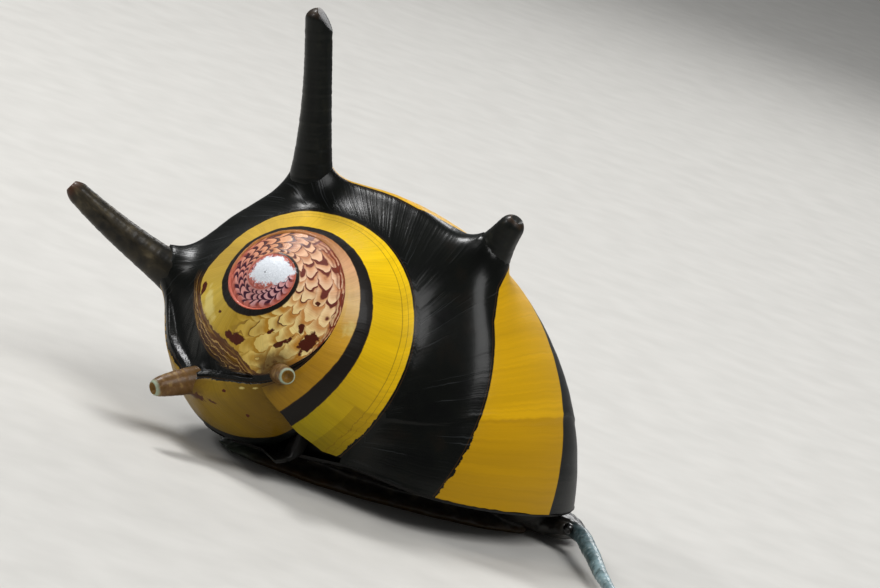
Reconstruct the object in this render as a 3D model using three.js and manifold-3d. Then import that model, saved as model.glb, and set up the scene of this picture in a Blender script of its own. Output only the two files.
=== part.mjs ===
// A horned nerite snail, life size, crawling with its shell carried over the foot.
// Millimetres. +X is the way the snail crawls, -Y is its right side, +Z is up.
// The sole lies at z = 0 and the middle of the whole outline is at x = 0, y = 0.
import * as THREE from 'three';
import { mergeVertices } from 'three/addons/utils/BufferGeometryUtils.js';
import Module from 'manifold-3d';

const wasm = await Module();
wasm.setup();

// Gap kept between touching pieces, and the finest step that a cut may leave
const GAP = 0.3;
const FINEST = 0.006;
const WELD = 0.001;

// Where the tip of the spire stands, and how the shell is carried:
// swing turns the spire from the front round to the right rear, lean tips it down from
// upright, and spin is the turn of the whorl about its own axis at the lip.
const APEX = new THREE.Vector3(-4.8, -0.94, 6.7);
const SWING = 214.7;
const LEAN = 61.05;
const SPIN = 24.6;

// Underside of the shell, where the lip stops above the ground. Behind this place the rim
// runs down towards the tail, by a share of the way back.
const LIP_HEIGHT = 1.3;
const REAR_RIM = { from: -0.4, slope: 0.2 };

// Lines that run round the whorl with its growth, from the suture out to the axis below.
// Each gives its radius from the axis and its depth below the tip of the spire,
// first at the lip and then one turn before it.
const SPIRAL_LINES = [
  { name: 'suture', lip: [3.67, 1.44], turnBefore: [1.21, 0.37] },
  { name: 'thin band', lip: [4.75, 2.6], turnBefore: [1.27, 0.4] },
  { name: 'shoulder', lip: [5.3, 5.2], turnBefore: [3.17, 1.21] },
  { name: 'horn band edge', lip: [8.38, 7.5], turnBefore: [4.12, 1.92] },
  { name: 'widest line', lip: [9.88, 14.7], turnBefore: [4.48, 3.51] },
  { name: 'base rim', lip: [8.86, 18.5], turnBefore: [4.24, 5.17] },
  { name: 'base', lip: [5.44, 19.5], turnBefore: [4.1, 7.2] },
];
// The last turn grows a little faster towards the lip than the one before
const LATE_GROWTH = [0.405, 0.351];
// Natural log of the growth in one turn, for all the whorls before the last
const EARLY_GROWTH = 0.78;
const AXIS_FOOT = 14;
// Each whorl starts a little inside its suture, buried in the whorl before it: shares of the
// suture's radius, of its depth, and of its radius again added to the depth
const TUCK = [0.8, 1.35, 0.1];
const LIP_TURN = -0.03;
const FIRST_TURN = -2.5;
// Smooth first bud of the shell at the tip of the spire
const BUD = { radius: 0.62, flat: 0.62, depth: 0.43 };
const STEPS_LAST = 22;
const STEPS_EARLY = 12;
const POINTS_PER_LINE = 4;

// The mouth of the shell: a recess inside the lip, closed at the back by a flat deck
const MOUTH_CENTRE = new THREE.Vector3(2.3, 0.86, LIP_HEIGHT);
const MOUTH_SCALE = 0.86;
const MANTLE_SCALE = 0.79;
const DECK_ANGLE = 38;
const DECK_INSET = 0.9;
const MOUTH_DEPTH = 2.2;

// Horns on the dark band, oldest first: place round the whorl and across it, tip from the
// apex, radius at the middle, how far the middle bows towards +Z, and how much its foot swells
const HORNS = [
  { turn: -1.03, across: 0.29, tip: [0.87, -2.98, -2.64], radius: 0.31, bow: 0, swell: 0.2 },
  { turn: -0.886, across: 0.385, tip: [-2.29, 0.32, -4.9], radius: 0.38, bow: 0, swell: 0.35 },
  { turn: -0.705, across: 0.418, tip: [-5.28, 6.56, -0.14], radius: 0.48, bow: -0.07, swell: 0.5 },
  { turn: -0.515, across: 0.402, tip: [0.67, 4.9, 8.24], radius: 0.52, bow: 0.1, swell: 0.6 },
  { turn: -0.33, across: 0.448, tip: [7.95, -0.07, 4.02], radius: 0.42, bow: 0.05, swell: 0.7 },
];
const HORN_SIDES = 14;

// Foot: a flat-soled pad, fuller in front
const FOOT = { x: 2.53, y: 1.6, long: 5.9, wide: 2.75, thick: 0.95, sides: 56, square: 2.5 };
const HEAD = { x: 8.7, y: 0.96, long: 1.55, wide: 1.8, low: 0.12, high: 1.0 };

// Horny lid that the snail carries on the back of the foot, a half moon
const OPERCULUM = { x: -0.8, y: 1.7, deep: 1.2, wide: 1.6, z: 0.3, thick: 0.34 };

// Feelers: root, two knees and tip, with their radius along the way
const FEELER_RADII = [0.3, 0.27, 0.25, 0.13];
const FEELER_RIGHT = [[9.3, -1.19, 0.85], [9.3, -3.04, 0.72], [8.8, -5.34, 0.5], [8.5, -7.64, 0.4]];
const FEELER_LEFT = [[9.3, 3.1, 0.85], [9.5, 4.7, 0.8], [9.9, 6.1, 0.62], [9.5, 7.5, 0.5]];
const FEELER_LENGTHS = 3;
const FEELER_SIDES = 10;

// Eyes on short stalks beside the feelers
const EYE = { x: 8.5, out: 1.75, z: 0.72, stalk: 0.5, stalkRadius: 0.26, radius: 0.2 };

const shellFrame = new THREE.Matrix4()
  .makeRotationZ(THREE.MathUtils.degToRad(SWING))
  .multiply(new THREE.Matrix4().makeRotationY(THREE.MathUtils.degToRad(LEAN)))
  .multiply(new THREE.Matrix4().makeRotationZ(THREE.MathUtils.degToRad(SPIN)));
shellFrame.setPosition(APEX);

// Solids

function solidOf(geometry) {
  const bare = geometry.index ? geometry.clone() : geometry;
  bare.deleteAttribute('normal');
  bare.deleteAttribute('uv');
  const merged = mergeVertices(bare, 1e-5);
  const mesh = new wasm.Mesh({
    numProp: 3,
    vertProperties: new Float32Array(merged.attributes.position.array),
    triVerts: new Uint32Array(merged.index.array),
  });
  return new wasm.Manifold(mesh);
}

function geometryOf(solid) {
  const mesh = solid.getMesh();
  const geometry = new THREE.BufferGeometry();
  geometry.setAttribute('position', new THREE.BufferAttribute(mesh.vertProperties, 3));
  geometry.setIndex(new THREE.BufferAttribute(mesh.triVerts, 1));
  geometry.computeVertexNormals();
  return geometry;
}

// The outer surface alone, with its finest steps welded and any sealed hollow filled in
function largestOf(solid) {
  const welded = mergeVertices(geometryOf(solid.simplify(FINEST)).deleteAttribute('normal'), WELD);
  return solidOf(welded).decompose().reduce((a, b) => (b.volume() > a.volume() ? b : a));
}

function union(solids) {
  return solids.reduce((a, b) => a.add(b));
}

// A closed solid through rings of points, each end closed by a fan to its own centre point
function loft(rings, startPoint, endPoint) {
  const count = rings[0].length;
  const points = rings.flat();
  const start = points.push(startPoint) - 1;
  const end = points.push(endPoint) - 1;
  const faces = [];
  for (let i = 0; i < rings.length - 1; i += 1) {
    for (let j = 0; j < count; j += 1) {
      const a = i * count + j;
      const b = i * count + ((j + 1) % count);
      faces.push(a, b, b + count, a, b + count, a + count);
    }
  }
  const last = (rings.length - 1) * count;
  for (let j = 0; j < count; j += 1) {
    const k = (j + 1) % count;
    faces.push(start, k, j);
    faces.push(end, last + j, last + k);
  }
  return meshSolid(points, faces);
}

function meshSolid(points, faces) {
  const geometry = new THREE.BufferGeometry().setFromPoints(points);
  geometry.setIndex(faces);
  if (signedVolume(points, faces) < 0) {
    const turned = [];
    for (let i = 0; i < faces.length; i += 3) turned.push(faces[i], faces[i + 2], faces[i + 1]);
    geometry.setIndex(turned);
  }
  return solidOf(geometry);
}

function signedVolume(points, faces) {
  let sum = 0;
  for (let i = 0; i < faces.length; i += 3) {
    const [a, b, c] = [points[faces[i]], points[faces[i + 1]], points[faces[i + 2]]];
    sum += a.dot(b.clone().cross(c)) / 6;
  }
  return sum;
}

// The whorl

function grown(line, part, turn) {
  const atLip = line.lip[part];
  const rate = Math.log(atLip / line.turnBefore[part]);
  const late = Math.max(turn, -1);
  const early = Math.min(turn + 1, 0);
  return atLip * Math.exp(rate * late + LATE_GROWTH[part] * (late * late + late) + EARLY_GROWTH * early);
}

function linesAt(turn) {
  return SPIRAL_LINES.map((line) => new THREE.Vector2(grown(line, 0, turn), grown(line, 1, turn)));
}

// The outline of the whorl at a turn, from the suture to the axis below. The last knot
// mirrors the base across the axis, so that the outline crosses the axis level.
function outlineAt(turn) {
  const knots = linesAt(turn).map((line) => new THREE.Vector3(line.x, line.y, 0));
  const base = knots[knots.length - 1];
  knots.push(new THREE.Vector3(0, base.y * 1.03, 0), new THREE.Vector3(-base.x, base.y, 0));
  return new THREE.CatmullRomCurve3(knots, false, 'centripetal');
}

// Radius and depth at a place across the whorl, from 0 at the suture to 1 at the axis below
function across(turn, place, outline = outlineAt(turn)) {
  const count = SPIRAL_LINES.length;
  const point = outline.getPoint((place * count) / (count + 1));
  return new THREE.Vector2(point.x, point.y);
}

function onShell(turn, flat) {
  const angle = turn * 2 * Math.PI;
  const point = new THREE.Vector3(flat.x * Math.cos(angle), -flat.x * Math.sin(angle), -flat.y);
  return point.applyMatrix4(shellFrame);
}

function sectionAt(turn, offset) {
  const samples = (SPIRAL_LINES.length - 1) * POINTS_PER_LINE;
  const top = (SPIRAL_LINES.length - 1) / SPIRAL_LINES.length;
  const outline = outlineAt(turn);
  const flat = [];
  for (let j = 0; j <= samples; j += 1) flat.push(across(turn, (top * j) / samples, outline));
  const tucked = new THREE.Vector2(flat[0].x * TUCK[0], flat[0].y * TUCK[1] + flat[0].x * TUCK[2]);
  if (offset === 0) return [tucked, ...flat];
  const moved = flat.map((point, j) => {
    const before = flat[Math.max(j - 1, 0)];
    const after = flat[Math.min(j + 1, samples)];
    const outward = new THREE.Vector2(after.y - before.y, before.x - after.x).normalize();
    return point.clone().addScaledVector(outward, offset);
  });
  return [tucked, ...moved];
}

// Up to half a turn of whorl, filled in to the axis and under the whorl before it
function whorlPiece(from, to, steps, offset) {
  const rings = [];
  for (let k = 0; k <= steps; k += 1) {
    const turn = from + ((to - from) * k) / steps;
    rings.push(sectionAt(turn, offset).map((flat) => onShell(turn, flat)));
  }
  const count = rings[0].length;
  const points = rings.flat();
  const buried = new THREE.Vector2(0, linesAt(from)[2].y);
  const top = points.push(onShell(from, buried)) - 1;
  const foot = points.push(onShell(from, new THREE.Vector2(0, AXIS_FOOT))) - 1;
  const faces = [];
  for (let k = 0; k < steps; k += 1) {
    const here = k * count;
    const next = here + count;
    faces.push(top, here, next);
    faces.push(foot, next + count - 1, here + count - 1);
    for (let j = 0; j < count - 1; j += 1) {
      faces.push(here + j, here + j + 1, next + j + 1, here + j, next + j + 1, next + j);
    }
  }
  for (const [turn, start, flip] of [[from, 0, false], [to, steps * count, true]]) {
    const outline = sectionAt(turn, offset);
    outline.unshift(buried);
    outline.push(new THREE.Vector2(0, AXIS_FOOT));
    const index = (i) => (i === 0 ? top : i === count + 1 ? foot : start + i - 1);
    for (const [a, b, c] of THREE.ShapeUtils.triangulateShape(outline, [])) {
      faces.push(...(flip ? [index(a), index(b), index(c)] : [index(a), index(c), index(b)]));
    }
  }
  return meshSolid(points, alike(points, faces, steps, count));
}

// The two end faces turned so that they agree with the sides
function alike(points, faces, steps, count) {
  const sides = steps * (2 + 2 * (count - 1)) * 3;
  const edges = new Set();
  for (let i = 0; i < sides; i += 3) {
    for (let e = 0; e < 3; e += 1) edges.add(`${faces[i + e]}-${faces[i + ((e + 1) % 3)]}`);
  }
  const caps = [faces.slice(sides, sides + count * 3), faces.slice(sides + count * 3)];
  return faces.slice(0, sides).concat(...caps.map((cap) => {
    let clash = false;
    for (let i = 0; i < cap.length; i += 3) {
      for (let e = 0; e < 3; e += 1) {
        if (edges.has(`${cap[i + e]}-${cap[i + ((e + 1) % 3)]}`)) clash = true;
      }
    }
    if (!clash) return cap;
    const turned = [];
    for (let i = 0; i < cap.length; i += 3) turned.push(cap[i], cap[i + 2], cap[i + 1]);
    return turned;
  }));
}

function wholeWhorls(offset) {
  const pieces = [];
  for (let turn = FIRST_TURN; turn < -1; turn += 0.5) {
    pieces.push(whorlPiece(turn, turn + 0.5, STEPS_EARLY, offset));
  }
  const bud = new THREE.SphereGeometry(BUD.radius + offset, 24, 16);
  bud.scale(1, 1, BUD.flat);
  bud.translate(0, 0, -BUD.depth);
  pieces.push(solidOf(bud.applyMatrix4(shellFrame)));
  pieces.push(whorlPiece(-1, -0.5, STEPS_LAST, offset));
  pieces.push(whorlPiece(-0.5, LIP_TURN, STEPS_LAST, offset));
  return union(pieces);
}

function block(width, depth, height, x, y, z, angle = 0) {
  const geometry = new THREE.BoxGeometry(width, depth, height);
  geometry.rotateZ(THREE.MathUtils.degToRad(angle));
  geometry.translate(x, y, z);
  return solidOf(geometry);
}

const BIG = 60;

// Everything on the lip's side of the deck, below a given height
function mouthSide(inset, top) {
  const angle = THREE.MathUtils.degToRad(DECK_ANGLE);
  const away = BIG / 2 + inset;
  const x = MOUTH_CENTRE.x + Math.sin(angle) * away;
  const y = MOUTH_CENTRE.y - Math.cos(angle) * away;
  return block(BIG, BIG, BIG, x, y, top - BIG / 2, DECK_ANGLE);
}

function scaledAbout(solid, centre, scale) {
  return solid.translate([-centre.x, -centre.y, -centre.z])
    .scale([scale, scale, 1])
    .translate([centre.x, centre.y, centre.z]);
}

const bareWhorls = wholeWhorls(0);
const mouth = scaledAbout(bareWhorls, MOUTH_CENTRE, MOUTH_SCALE)
  .intersect(mouthSide(-DECK_INSET, LIP_HEIGHT + MOUTH_DEPTH));

function makeShell() {
  const level = block(BIG, BIG, BIG, 0, 0, LIP_HEIGHT - BIG / 2);
  const tilted = new THREE.BoxGeometry(BIG, BIG, BIG);
  tilted.translate(0, 0, -BIG / 2);
  tilted.rotateY(-Math.atan(REAR_RIM.slope));
  tilted.translate(REAR_RIM.from, 0, LIP_HEIGHT);
  const ground = level.intersect(solidOf(tilted));
  return largestOf(bareWhorls.subtract(ground).subtract(mouth));
}

function makeMantle() {
  const core = scaledAbout(bareWhorls, MOUTH_CENTRE, MANTLE_SCALE)
    .intersect(mouthSide(-DECK_INSET + GAP, LIP_HEIGHT + MOUTH_DEPTH - GAP));
  const below = block(BIG, BIG, BIG, 0, 0, FOOT.thick + GAP - BIG / 2);
  return largestOf(core.subtract(below));
}

// Horns

function tube(path, radii, sides, hollow) {
  const steps = radii.length - 1;
  const rings = [];
  const frames = path.computeFrenetFrames(steps, false);
  for (let k = 0; k <= steps; k += 1) {
    const centre = path.getPointAt(k / steps);
    rings.push(ringAt(centre, frames.normals[k], frames.binormals[k], radii[k], sides));
  }
  const tip = path.getPointAt(1);
  const inward = frames.tangents[steps];
  let end = tip.clone().addScaledVector(inward, radii[steps] * 0.5);
  if (hollow) {
    const cup = radii[steps] * 0.5;
    rings.push(ringAt(tip, frames.normals[steps], frames.binormals[steps], radii[steps] * 0.62, sides));
    end = tip.clone().addScaledVector(inward, -cup);
  }
  return loft(rings, path.getPointAt(0), end);
}

function ringAt(centre, side, up, radius, sides) {
  const ring = [];
  for (let j = 0; j < sides; j += 1) {
    const angle = (j / sides) * 2 * Math.PI;
    ring.push(centre.clone()
      .addScaledVector(side, Math.cos(angle) * radius)
      .addScaledVector(up, Math.sin(angle) * radius));
  }
  return ring;
}

const clearance = wholeWhorls(GAP);

function makeHorn({ turn, across: place, tip, radius, bow, swell }) {
  const root = onShell(turn, across(turn, place));
  const end = new THREE.Vector3(...tip).add(APEX);
  const reach = end.clone().sub(root);
  const inner = root.clone().addScaledVector(reach.clone().normalize(), -1.0);
  const middle = root.clone().lerp(end, 0.5);
  middle.z += bow * reach.length();
  const path = new THREE.QuadraticBezierCurve3(inner, middle, end);
  const flare = [1.3, 1.1, 0.75, 0.4, 0.16, 0.05, 0, -0.03, -0.07, -0.1, -0.12, -0.14, -0.16, -0.22];
  const radii = flare.map((more) => (1 + more * (more > 0 ? swell : 1)) * radius);
  const horn = tube(path, radii, HORN_SIDES, true);
  return largestOf(horn.subtract(clearance));
}

// Soft body

function egg(centreX, centreY, long, wide, size, height, sides, square) {
  const ring = [];
  for (let j = 0; j < sides; j += 1) {
    const angle = (j / sides) * 2 * Math.PI;
    const [c, s] = [Math.cos(angle), Math.sin(angle)];
    const reach = 1 / (Math.abs(c) ** square + Math.abs(s) ** square) ** (1 / square);
    const fuller = 1 + 0.1 * c;
    ring.push(new THREE.Vector3(
      centreX + long * size * reach * c,
      centreY + wide * size * reach * s * fuller,
      height,
    ));
  }
  return ring;
}

function makeFoot() {
  const { x, y, long, wide, thick, sides, square } = FOOT;
  const levels = [[0.95, 0], [1, 0.12], [1, 0.28], [0.94, 0.45], [0.84, 0.56]];
  const rings = levels.map(([size, height]) => egg(x, y, long, wide, size, height, sides, square));
  rings.push(egg(x + 1.2, y - 0.3, long * 0.76, wide * 0.8, 0.9, thick * 0.82, sides, 2));
  rings.push(egg(x + 1.4, y - 0.3, long * 0.7, wide * 0.76, 0.8, thick, sides, 2));
  const bottom = new THREE.Vector3(x, y, 0);
  const top = new THREE.Vector3(x + 1.4, y - 0.3, thick);
  const pad = loft(rings, bottom, top);
  const headRoom = headSolid(GAP);
  const plateRoom = operculumSolid(GAP);
  return largestOf(pad.subtract(headRoom).subtract(plateRoom));
}

function headSolid(grow) {
  const { x, y, long, wide, low, high } = HEAD;
  const levels = [[0.78, 0], [0.93, 0.18], [1, 0.45], [0.95, 0.75], [0.8, 0.93], [0.6, 1]];
  const rings = levels.map(([size, part]) => {
    const height = low - grow + (high - low + 2 * grow) * part;
    return egg(x, y, long + grow, wide + grow, size, height, 32, 2.3);
  });
  const middle = (height) => new THREE.Vector3(x, y, height);
  return loft(rings, middle(low - grow), middle(high + grow));
}

function operculumSolid(grow) {
  const { x, y, z, deep, wide, thick } = OPERCULUM;
  const rings = [[0.94, -grow], [1, 0.28 * thick], [1, 0.72 * thick], [0.92, thick + grow]].map(([size, height]) => {
    const ring = [];
    for (let j = 0; j < 28; j += 1) {
      const angle = (j / 28) * 2 * Math.PI;
      const half = Math.cos(angle) > 0 ? 0.35 : 1;
      ring.push(new THREE.Vector3(
        x + (deep * size + grow) * Math.cos(angle) * half,
        y + (wide * size + grow) * Math.sin(angle),
        z + height,
      ));
    }
    return ring;
  });
  const middle = (height) => new THREE.Vector3(x, y, z + height);
  return loft(rings, middle(-grow), middle(thick + grow));
}

function makeFeeler(route) {
  const path = new THREE.CatmullRomCurve3(route.map((place) => new THREE.Vector3(...place)));
  const radiusAt = (part) => {
    const along = part * (FEELER_RADII.length - 1);
    const i = Math.min(Math.floor(along), FEELER_RADII.length - 2);
    return THREE.MathUtils.lerp(FEELER_RADII[i], FEELER_RADII[i + 1], along - i);
  };
  const total = path.getLength();
  const lengths = [];
  for (let k = 0; k < FEELER_LENGTHS; k += 1) {
    const from = k / FEELER_LENGTHS + (k > 0 ? GAP / 2 / total : 0);
    const to = (k + 1) / FEELER_LENGTHS - (k < FEELER_LENGTHS - 1 ? GAP / 2 / total : 0);
    const steps = 6;
    const rings = [];
    for (let i = 0; i <= steps; i += 1) {
      const part = THREE.MathUtils.lerp(from, to, i / steps);
      const ahead = path.getTangentAt(part);
      const side = new THREE.Vector3(-ahead.y, ahead.x, 0).normalize();
      const up = ahead.clone().cross(side);
      rings.push(ringAt(path.getPointAt(part), side, up, radiusAt(part), FEELER_SIDES));
    }
    lengths.push(loft(rings, path.getPointAt(from), path.getPointAt(to)));
  }
  lengths[0] = largestOf(lengths[0].subtract(headSolid(GAP)));
  return lengths;
}

// A short stalk at the outer foot of each feeler, with the eye on its end
function stalkAndEye(side) {
  const root = new THREE.Vector3(EYE.x, HEAD.y + side * EYE.out, EYE.z);
  const lean = new THREE.Vector3(0.25, side * 0.9, 0.3).normalize();
  const tip = root.clone().addScaledVector(lean, EYE.stalk);
  const path = new THREE.LineCurve3(root.clone().addScaledVector(lean, -EYE.stalk), tip);
  const stalk = tube(path, [1.1, 1, 0.9, 0.8].map((size) => size * EYE.stalkRadius), FEELER_SIDES, false);
  const centre = tip.clone().addScaledVector(lean, EYE.radius + GAP);
  const ball = new THREE.SphereGeometry(EYE.radius, 16, 10);
  ball.translate(centre.x, centre.y, centre.z);
  return [largestOf(stalk.subtract(headSolid(GAP))), solidOf(ball)];
}

// Colours as in life, still plain

const looks = {
  shell: { color: 0xe3a51c, roughness: 0.22 },
  horn: { color: 0x17110f, roughness: 0.25 },
  flesh: { color: 0x2b2622, roughness: 0.45 },
  feeler: { color: 0x6f7c86, roughness: 0.35 },
  operculum: { color: 0x6d6a55, roughness: 0.5 },
  eye: { color: 0x070707, roughness: 0.08 },
};

const snail = new THREE.Group();

function add(name, solid, look) {
  const material = new THREE.MeshStandardMaterial({ ...looks[look], metalness: 0 });
  const mesh = new THREE.Mesh(geometryOf(solid), material);
  mesh.name = name;
  snail.add(mesh);
}

add('shell', makeShell(), 'shell');
HORNS.forEach((horn, i) => add(`horn_${i + 1}`, makeHorn(horn), 'horn'));
add('mantle', makeMantle(), 'flesh');
add('foot', makeFoot(), 'flesh');
add('head', headSolid(0), 'flesh');
add('operculum', operculumSolid(0), 'operculum');
for (const [side, route, sign] of [['right', FEELER_RIGHT, -1], ['left', FEELER_LEFT, 1]]) {
  makeFeeler(route).forEach((length, i) => add(`feeler_${side}_${i + 1}`, length, 'feeler'));
  const [stalk, ball] = stalkAndEye(sign);
  add(`eyestalk_${side}`, stalk, 'flesh');
  add(`eye_${side}`, ball, 'eye');
}

export default snail;
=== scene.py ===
"""A horned nerite snail crawling on a pale floor: shell, horns, skin, eyes and lid."""
import math
from types import SimpleNamespace

import bpy
import numpy as np
from mathutils import Matrix, Vector


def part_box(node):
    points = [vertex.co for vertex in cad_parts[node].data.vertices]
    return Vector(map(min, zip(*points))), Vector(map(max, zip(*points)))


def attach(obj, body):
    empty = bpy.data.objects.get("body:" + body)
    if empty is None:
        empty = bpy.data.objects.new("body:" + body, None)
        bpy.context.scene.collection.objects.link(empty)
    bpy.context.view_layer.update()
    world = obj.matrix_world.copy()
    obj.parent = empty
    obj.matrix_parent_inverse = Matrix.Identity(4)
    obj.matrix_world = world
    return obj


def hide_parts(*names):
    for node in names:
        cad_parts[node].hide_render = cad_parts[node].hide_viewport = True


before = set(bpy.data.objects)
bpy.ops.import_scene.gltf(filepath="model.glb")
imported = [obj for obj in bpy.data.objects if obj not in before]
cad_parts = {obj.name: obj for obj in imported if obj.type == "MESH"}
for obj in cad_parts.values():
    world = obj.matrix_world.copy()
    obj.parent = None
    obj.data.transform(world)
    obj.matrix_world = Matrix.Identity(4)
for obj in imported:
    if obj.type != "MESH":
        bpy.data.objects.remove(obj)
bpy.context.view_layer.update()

MM = 0.001

# The carriage of the shell and the lines that run round its whorl, in millimetres: each line
# gives radius and depth at the lip, then one turn before it
APEX = np.array([-4.8, -0.94, 6.7])
SWING, LEAN, SPIN = 214.7, 61.05, 24.6
LINES_AT_LIP = np.array([[3.67, 1.44], [4.75, 2.6], [5.3, 5.2], [8.38, 7.5],
                         [9.88, 14.7], [8.86, 18.5], [5.44, 19.5]])
LINES_TURN_BEFORE = np.array([[1.21, 0.37], [1.27, 0.4], [3.17, 1.21], [4.12, 1.92],
                              [4.48, 3.51], [4.24, 5.17], [4.1, 7.2]])
LATE_GROWTH = np.array([0.405, 0.351])
EARLY_GROWTH = 0.78
SPANS = len(LINES_AT_LIP)

# The rim of the mouth on the near side, as places across the whorl and the turn where each stops
RIM_PLACES = [0, 0.03, 0.11, 0.18, 0.25, 0.29]
RIM_TURNS = [-0.006, -0.011, -0.028, -0.037, -0.05, -0.068]
RIM_HEIGHT = 1.4
# Behind this place the rim runs down towards the tail, by a share of the way back
REAR_FROM, REAR_SLOPE = -0.4, 0.2
FIRST_TURN = -6.6

# Bands of the shell. A turn is 0 at the lip and -1 one turn before it, and a place runs from 0 at
# the suture to 1 at the axis below. The thin band has a half width in millimetres as well.
THIN_CENTRE = [(-1.6, 0.143), (-1.05, 0.143), (-0.9, 0.15), (-0.75, 0.156), (-0.55, 0.143),
               (-0.42, 0.139), (-0.3, 0.14), (-0.18, 0.135), (-0.08, 0.124), (0, 0.132)]
THIN_HALF = [(-1.56, -0.02), (-1.45, 0.05), (-1.25, 0.09), (-1.0, 0.14), (-0.87, 0.165),
             (-0.75, 0.19), (-0.62, 0.2), (-0.5, 0.2), (-0.36, 0.22), (-0.25, 0.25),
             (-0.15, 0.28), (-0.05, 0.34), (0, 0.34)]
DARK_STARTS = [(-1.1, 0.3), (-1.0, 0.29), (-0.95, 0.245), (-0.9, 0.232), (-0.83, 0.235),
               (-0.78, 0.245), (-0.72, 0.262), (-0.64, 0.252), (-0.57, 0.275), (-0.46, 0.272),
               (-0.3, 0.275), (-0.08, 0.276), (0, 0.286)]
DARK_ENDS = [(-1.1, 0.32), (-1.0, 0.33), (-0.95, 0.33), (-0.91, 0.352), (-0.87, 0.39),
             (-0.8, 0.42), (-0.57, 0.42), (-0.5, 0.405), (-0.4, 0.405), (-0.37, 0.45),
             (-0.335, 0.485), (-0.3, 0.445), (-0.27, 0.43), (0, 0.422)]
BASE_STARTS = [(-1.1, 0.55), (-0.95, 0.56), (-0.5, 0.57), (-0.3, 0.56), (0, 0.572)]

# The turn, counted from the lip, at which the shell paused in its growth
ARREST = -0.066

# Worn dome at the tip of the spire: its radius, the height of its middle from the apex, and how
# fast it falls away
DOME_RADIUS, DOME_TOP, DOME_FALL = 0.85, -0.03, 0.34

# Stains and worn spots: turn, place, half length in turns, half width in places, and strength,
# brown above nought and pale below it. The last two small pale specks are painted glints.
SPOTS = [
    (-0.745, 0.238, 0.022, 0.014, 0.9), (-0.93, 0.222, 0.035, 0.012, 0.9),
    (-0.835, 0.2, 0.014, 0.006, 0.7), (-1.107, 0.27, 0.03, 0.02, 0.9),
    (-1.02, 0.272, 0.018, 0.02, 0.5), (-1.033, 0.207, 0.012, 0.006, 0.9),
    (-1.11, 0.233, 0.012, 0.009, 0.9), (-1.055, 0.238, 0.026, 0.006, 0.9),
    (-1.182, 0.229, 0.009, 0.006, 0.8), (-0.79, 0.222, 0.055, 0.016, -1.1),
    (-0.178, 0.07, 0.018, 0.05, -0.6), (-0.945, 0.372, 0.004, 0.007, 0.8),
    (-0.98, 0.46, 0.004, 0.008, 0.7), (-0.934, 0.43, 0.005, 0.006, 0.5),
    (-0.9, 0.43, 0.03, 0.022, 0.75), (-0.972, 0.348, 0.005, 0.006, -1.0),
    (-0.994, 0.346, 0.005, 0.005, -1.0),
]

# Horns: turn and place of the root, tip from the apex, radii at the foot, middle and tip, bow towards
# +Z as a share of the length, and how far the shell swells up round the foot, in foot radii
HORNS = [
    ("horn_1", -1.03, 0.29, (0.87, -2.98, -2.64), (0.32, 0.31, 0.3), 0.0, 0.4),
    ("horn_2", -0.886, 0.385, (-2.29, 0.32, -4.9), (0.43, 0.4, 0.29), 0.0, 0.6),
    ("horn_3", -0.705, 0.418, (-5.28, 6.56, -0.14), (0.66, 0.53, 0.35), -0.07, 1.2),
    ("horn_4", -0.522, 0.402, (0.53, 4.94, 8.38), (0.7, 0.51, 0.46), 0.1, 1.2),
    ("horn_5", -0.33, 0.448, (7.95, -0.07, 4.02), (0.72, 0.52, 0.4), 0.05, 1.2),
]

# The two low horns rise from deeper in the shell and have wide ringed ends. The rest are narrower
# at the end, by a share of the tip radius, and one is closed and chipped.
LOW_HORNS = ("horn_1", "horn_2")
CHIPPED_HORN = "horn_4"
END_WIDTHS = {"horn_1": 0.85, "horn_2": 0.85, "horn_4": 0.08}
OTHER_END_WIDTH = 0.66
ROOT_DEPTH, LOW_ROOT_DEPTH = 0.8, 0.6

# The mouth: middle of its rings, turn and distance of the deck's edge, and the rings by size,
# height over the rim, share of the rim's fall that they keep, and whether the deck cuts them
MOUTH = np.array([2.3, 0.86])
DECK_TURN, DECK_BACK = math.radians(38), 0.9
MOUTH_RINGS = [
    (1, 0.02, 1, False), (0.992, -0.07, 1, False), (0.975, -0.1, 1, False), (0.955, -0.05, 1, False),
    (0.88, -0.02, 0.6, True), (0.87, 0.1, 0.3, True), (0.86, 1.0, 0, True), (0.8, 1.9, 0, True),
]
THROAT_BACK, THROAT_HEIGHT = 1.2, 2.0

# The foot, with the height and size of each level of its side, and how square its outline is
FOOT = dict(x=2.53, y=1.6, long=5.9, wide=2.75, thick=0.95)
FOOT_LEVELS = [0, 0.12, 0.3, 0.5, 0.75, 1]
FOOT_SIZES = [0.975, 1, 0.965, 0.87, 0.78, 0.7]
FOOT_SQUARE = 2.5

# Routes of the feelers, their radii, the eyes and the midline of the body
FEELER_RIGHT = [(8.43, -0.2, 0.75), (9.0, -1.19, 0.85), (8.93, -3.04, 0.72), (8.6, -5.34, 0.5),
                (8.35, -7.5, 0.42)]
FEELER_LEFT = [(8.73, 2.4, 0.75), (9.3, 3.1, 0.85), (9.5, 4.7, 0.8), (9.9, 6.1, 0.62), (9.5, 7.38, 0.52)]
FEELER_RADII = [0.31, 0.3, 0.28, 0.24, 0.14]
STALK_RADII = [0.3, 0.27, 0.23]
EYE_X, EYE_OUT, EYE_Z = 8.5, 1.75, 0.72
EYE_RADIUS = 0.19
MIDLINE = 0.96
SKIN_VOXEL = 0.065

# Steps of the lid towards its middle, by width and rise
LID_STEPS = [(0.05, 0.03), (0.25, 0.02), (0.06, -0.03), (0.25, 0.03), (0.06, -0.02), (0.2, 0.02)]


def srgb(code):
    """A hex colour as linear red, green, blue and alpha."""
    parts = [int(code[i:i + 2], 16) / 255 for i in (1, 3, 5)]
    return [c / 12.92 if c <= 0.04045 else ((c + 0.055) / 1.055) ** 2.4 for c in parts] + [1.0]


# Shape of the whorl


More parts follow.
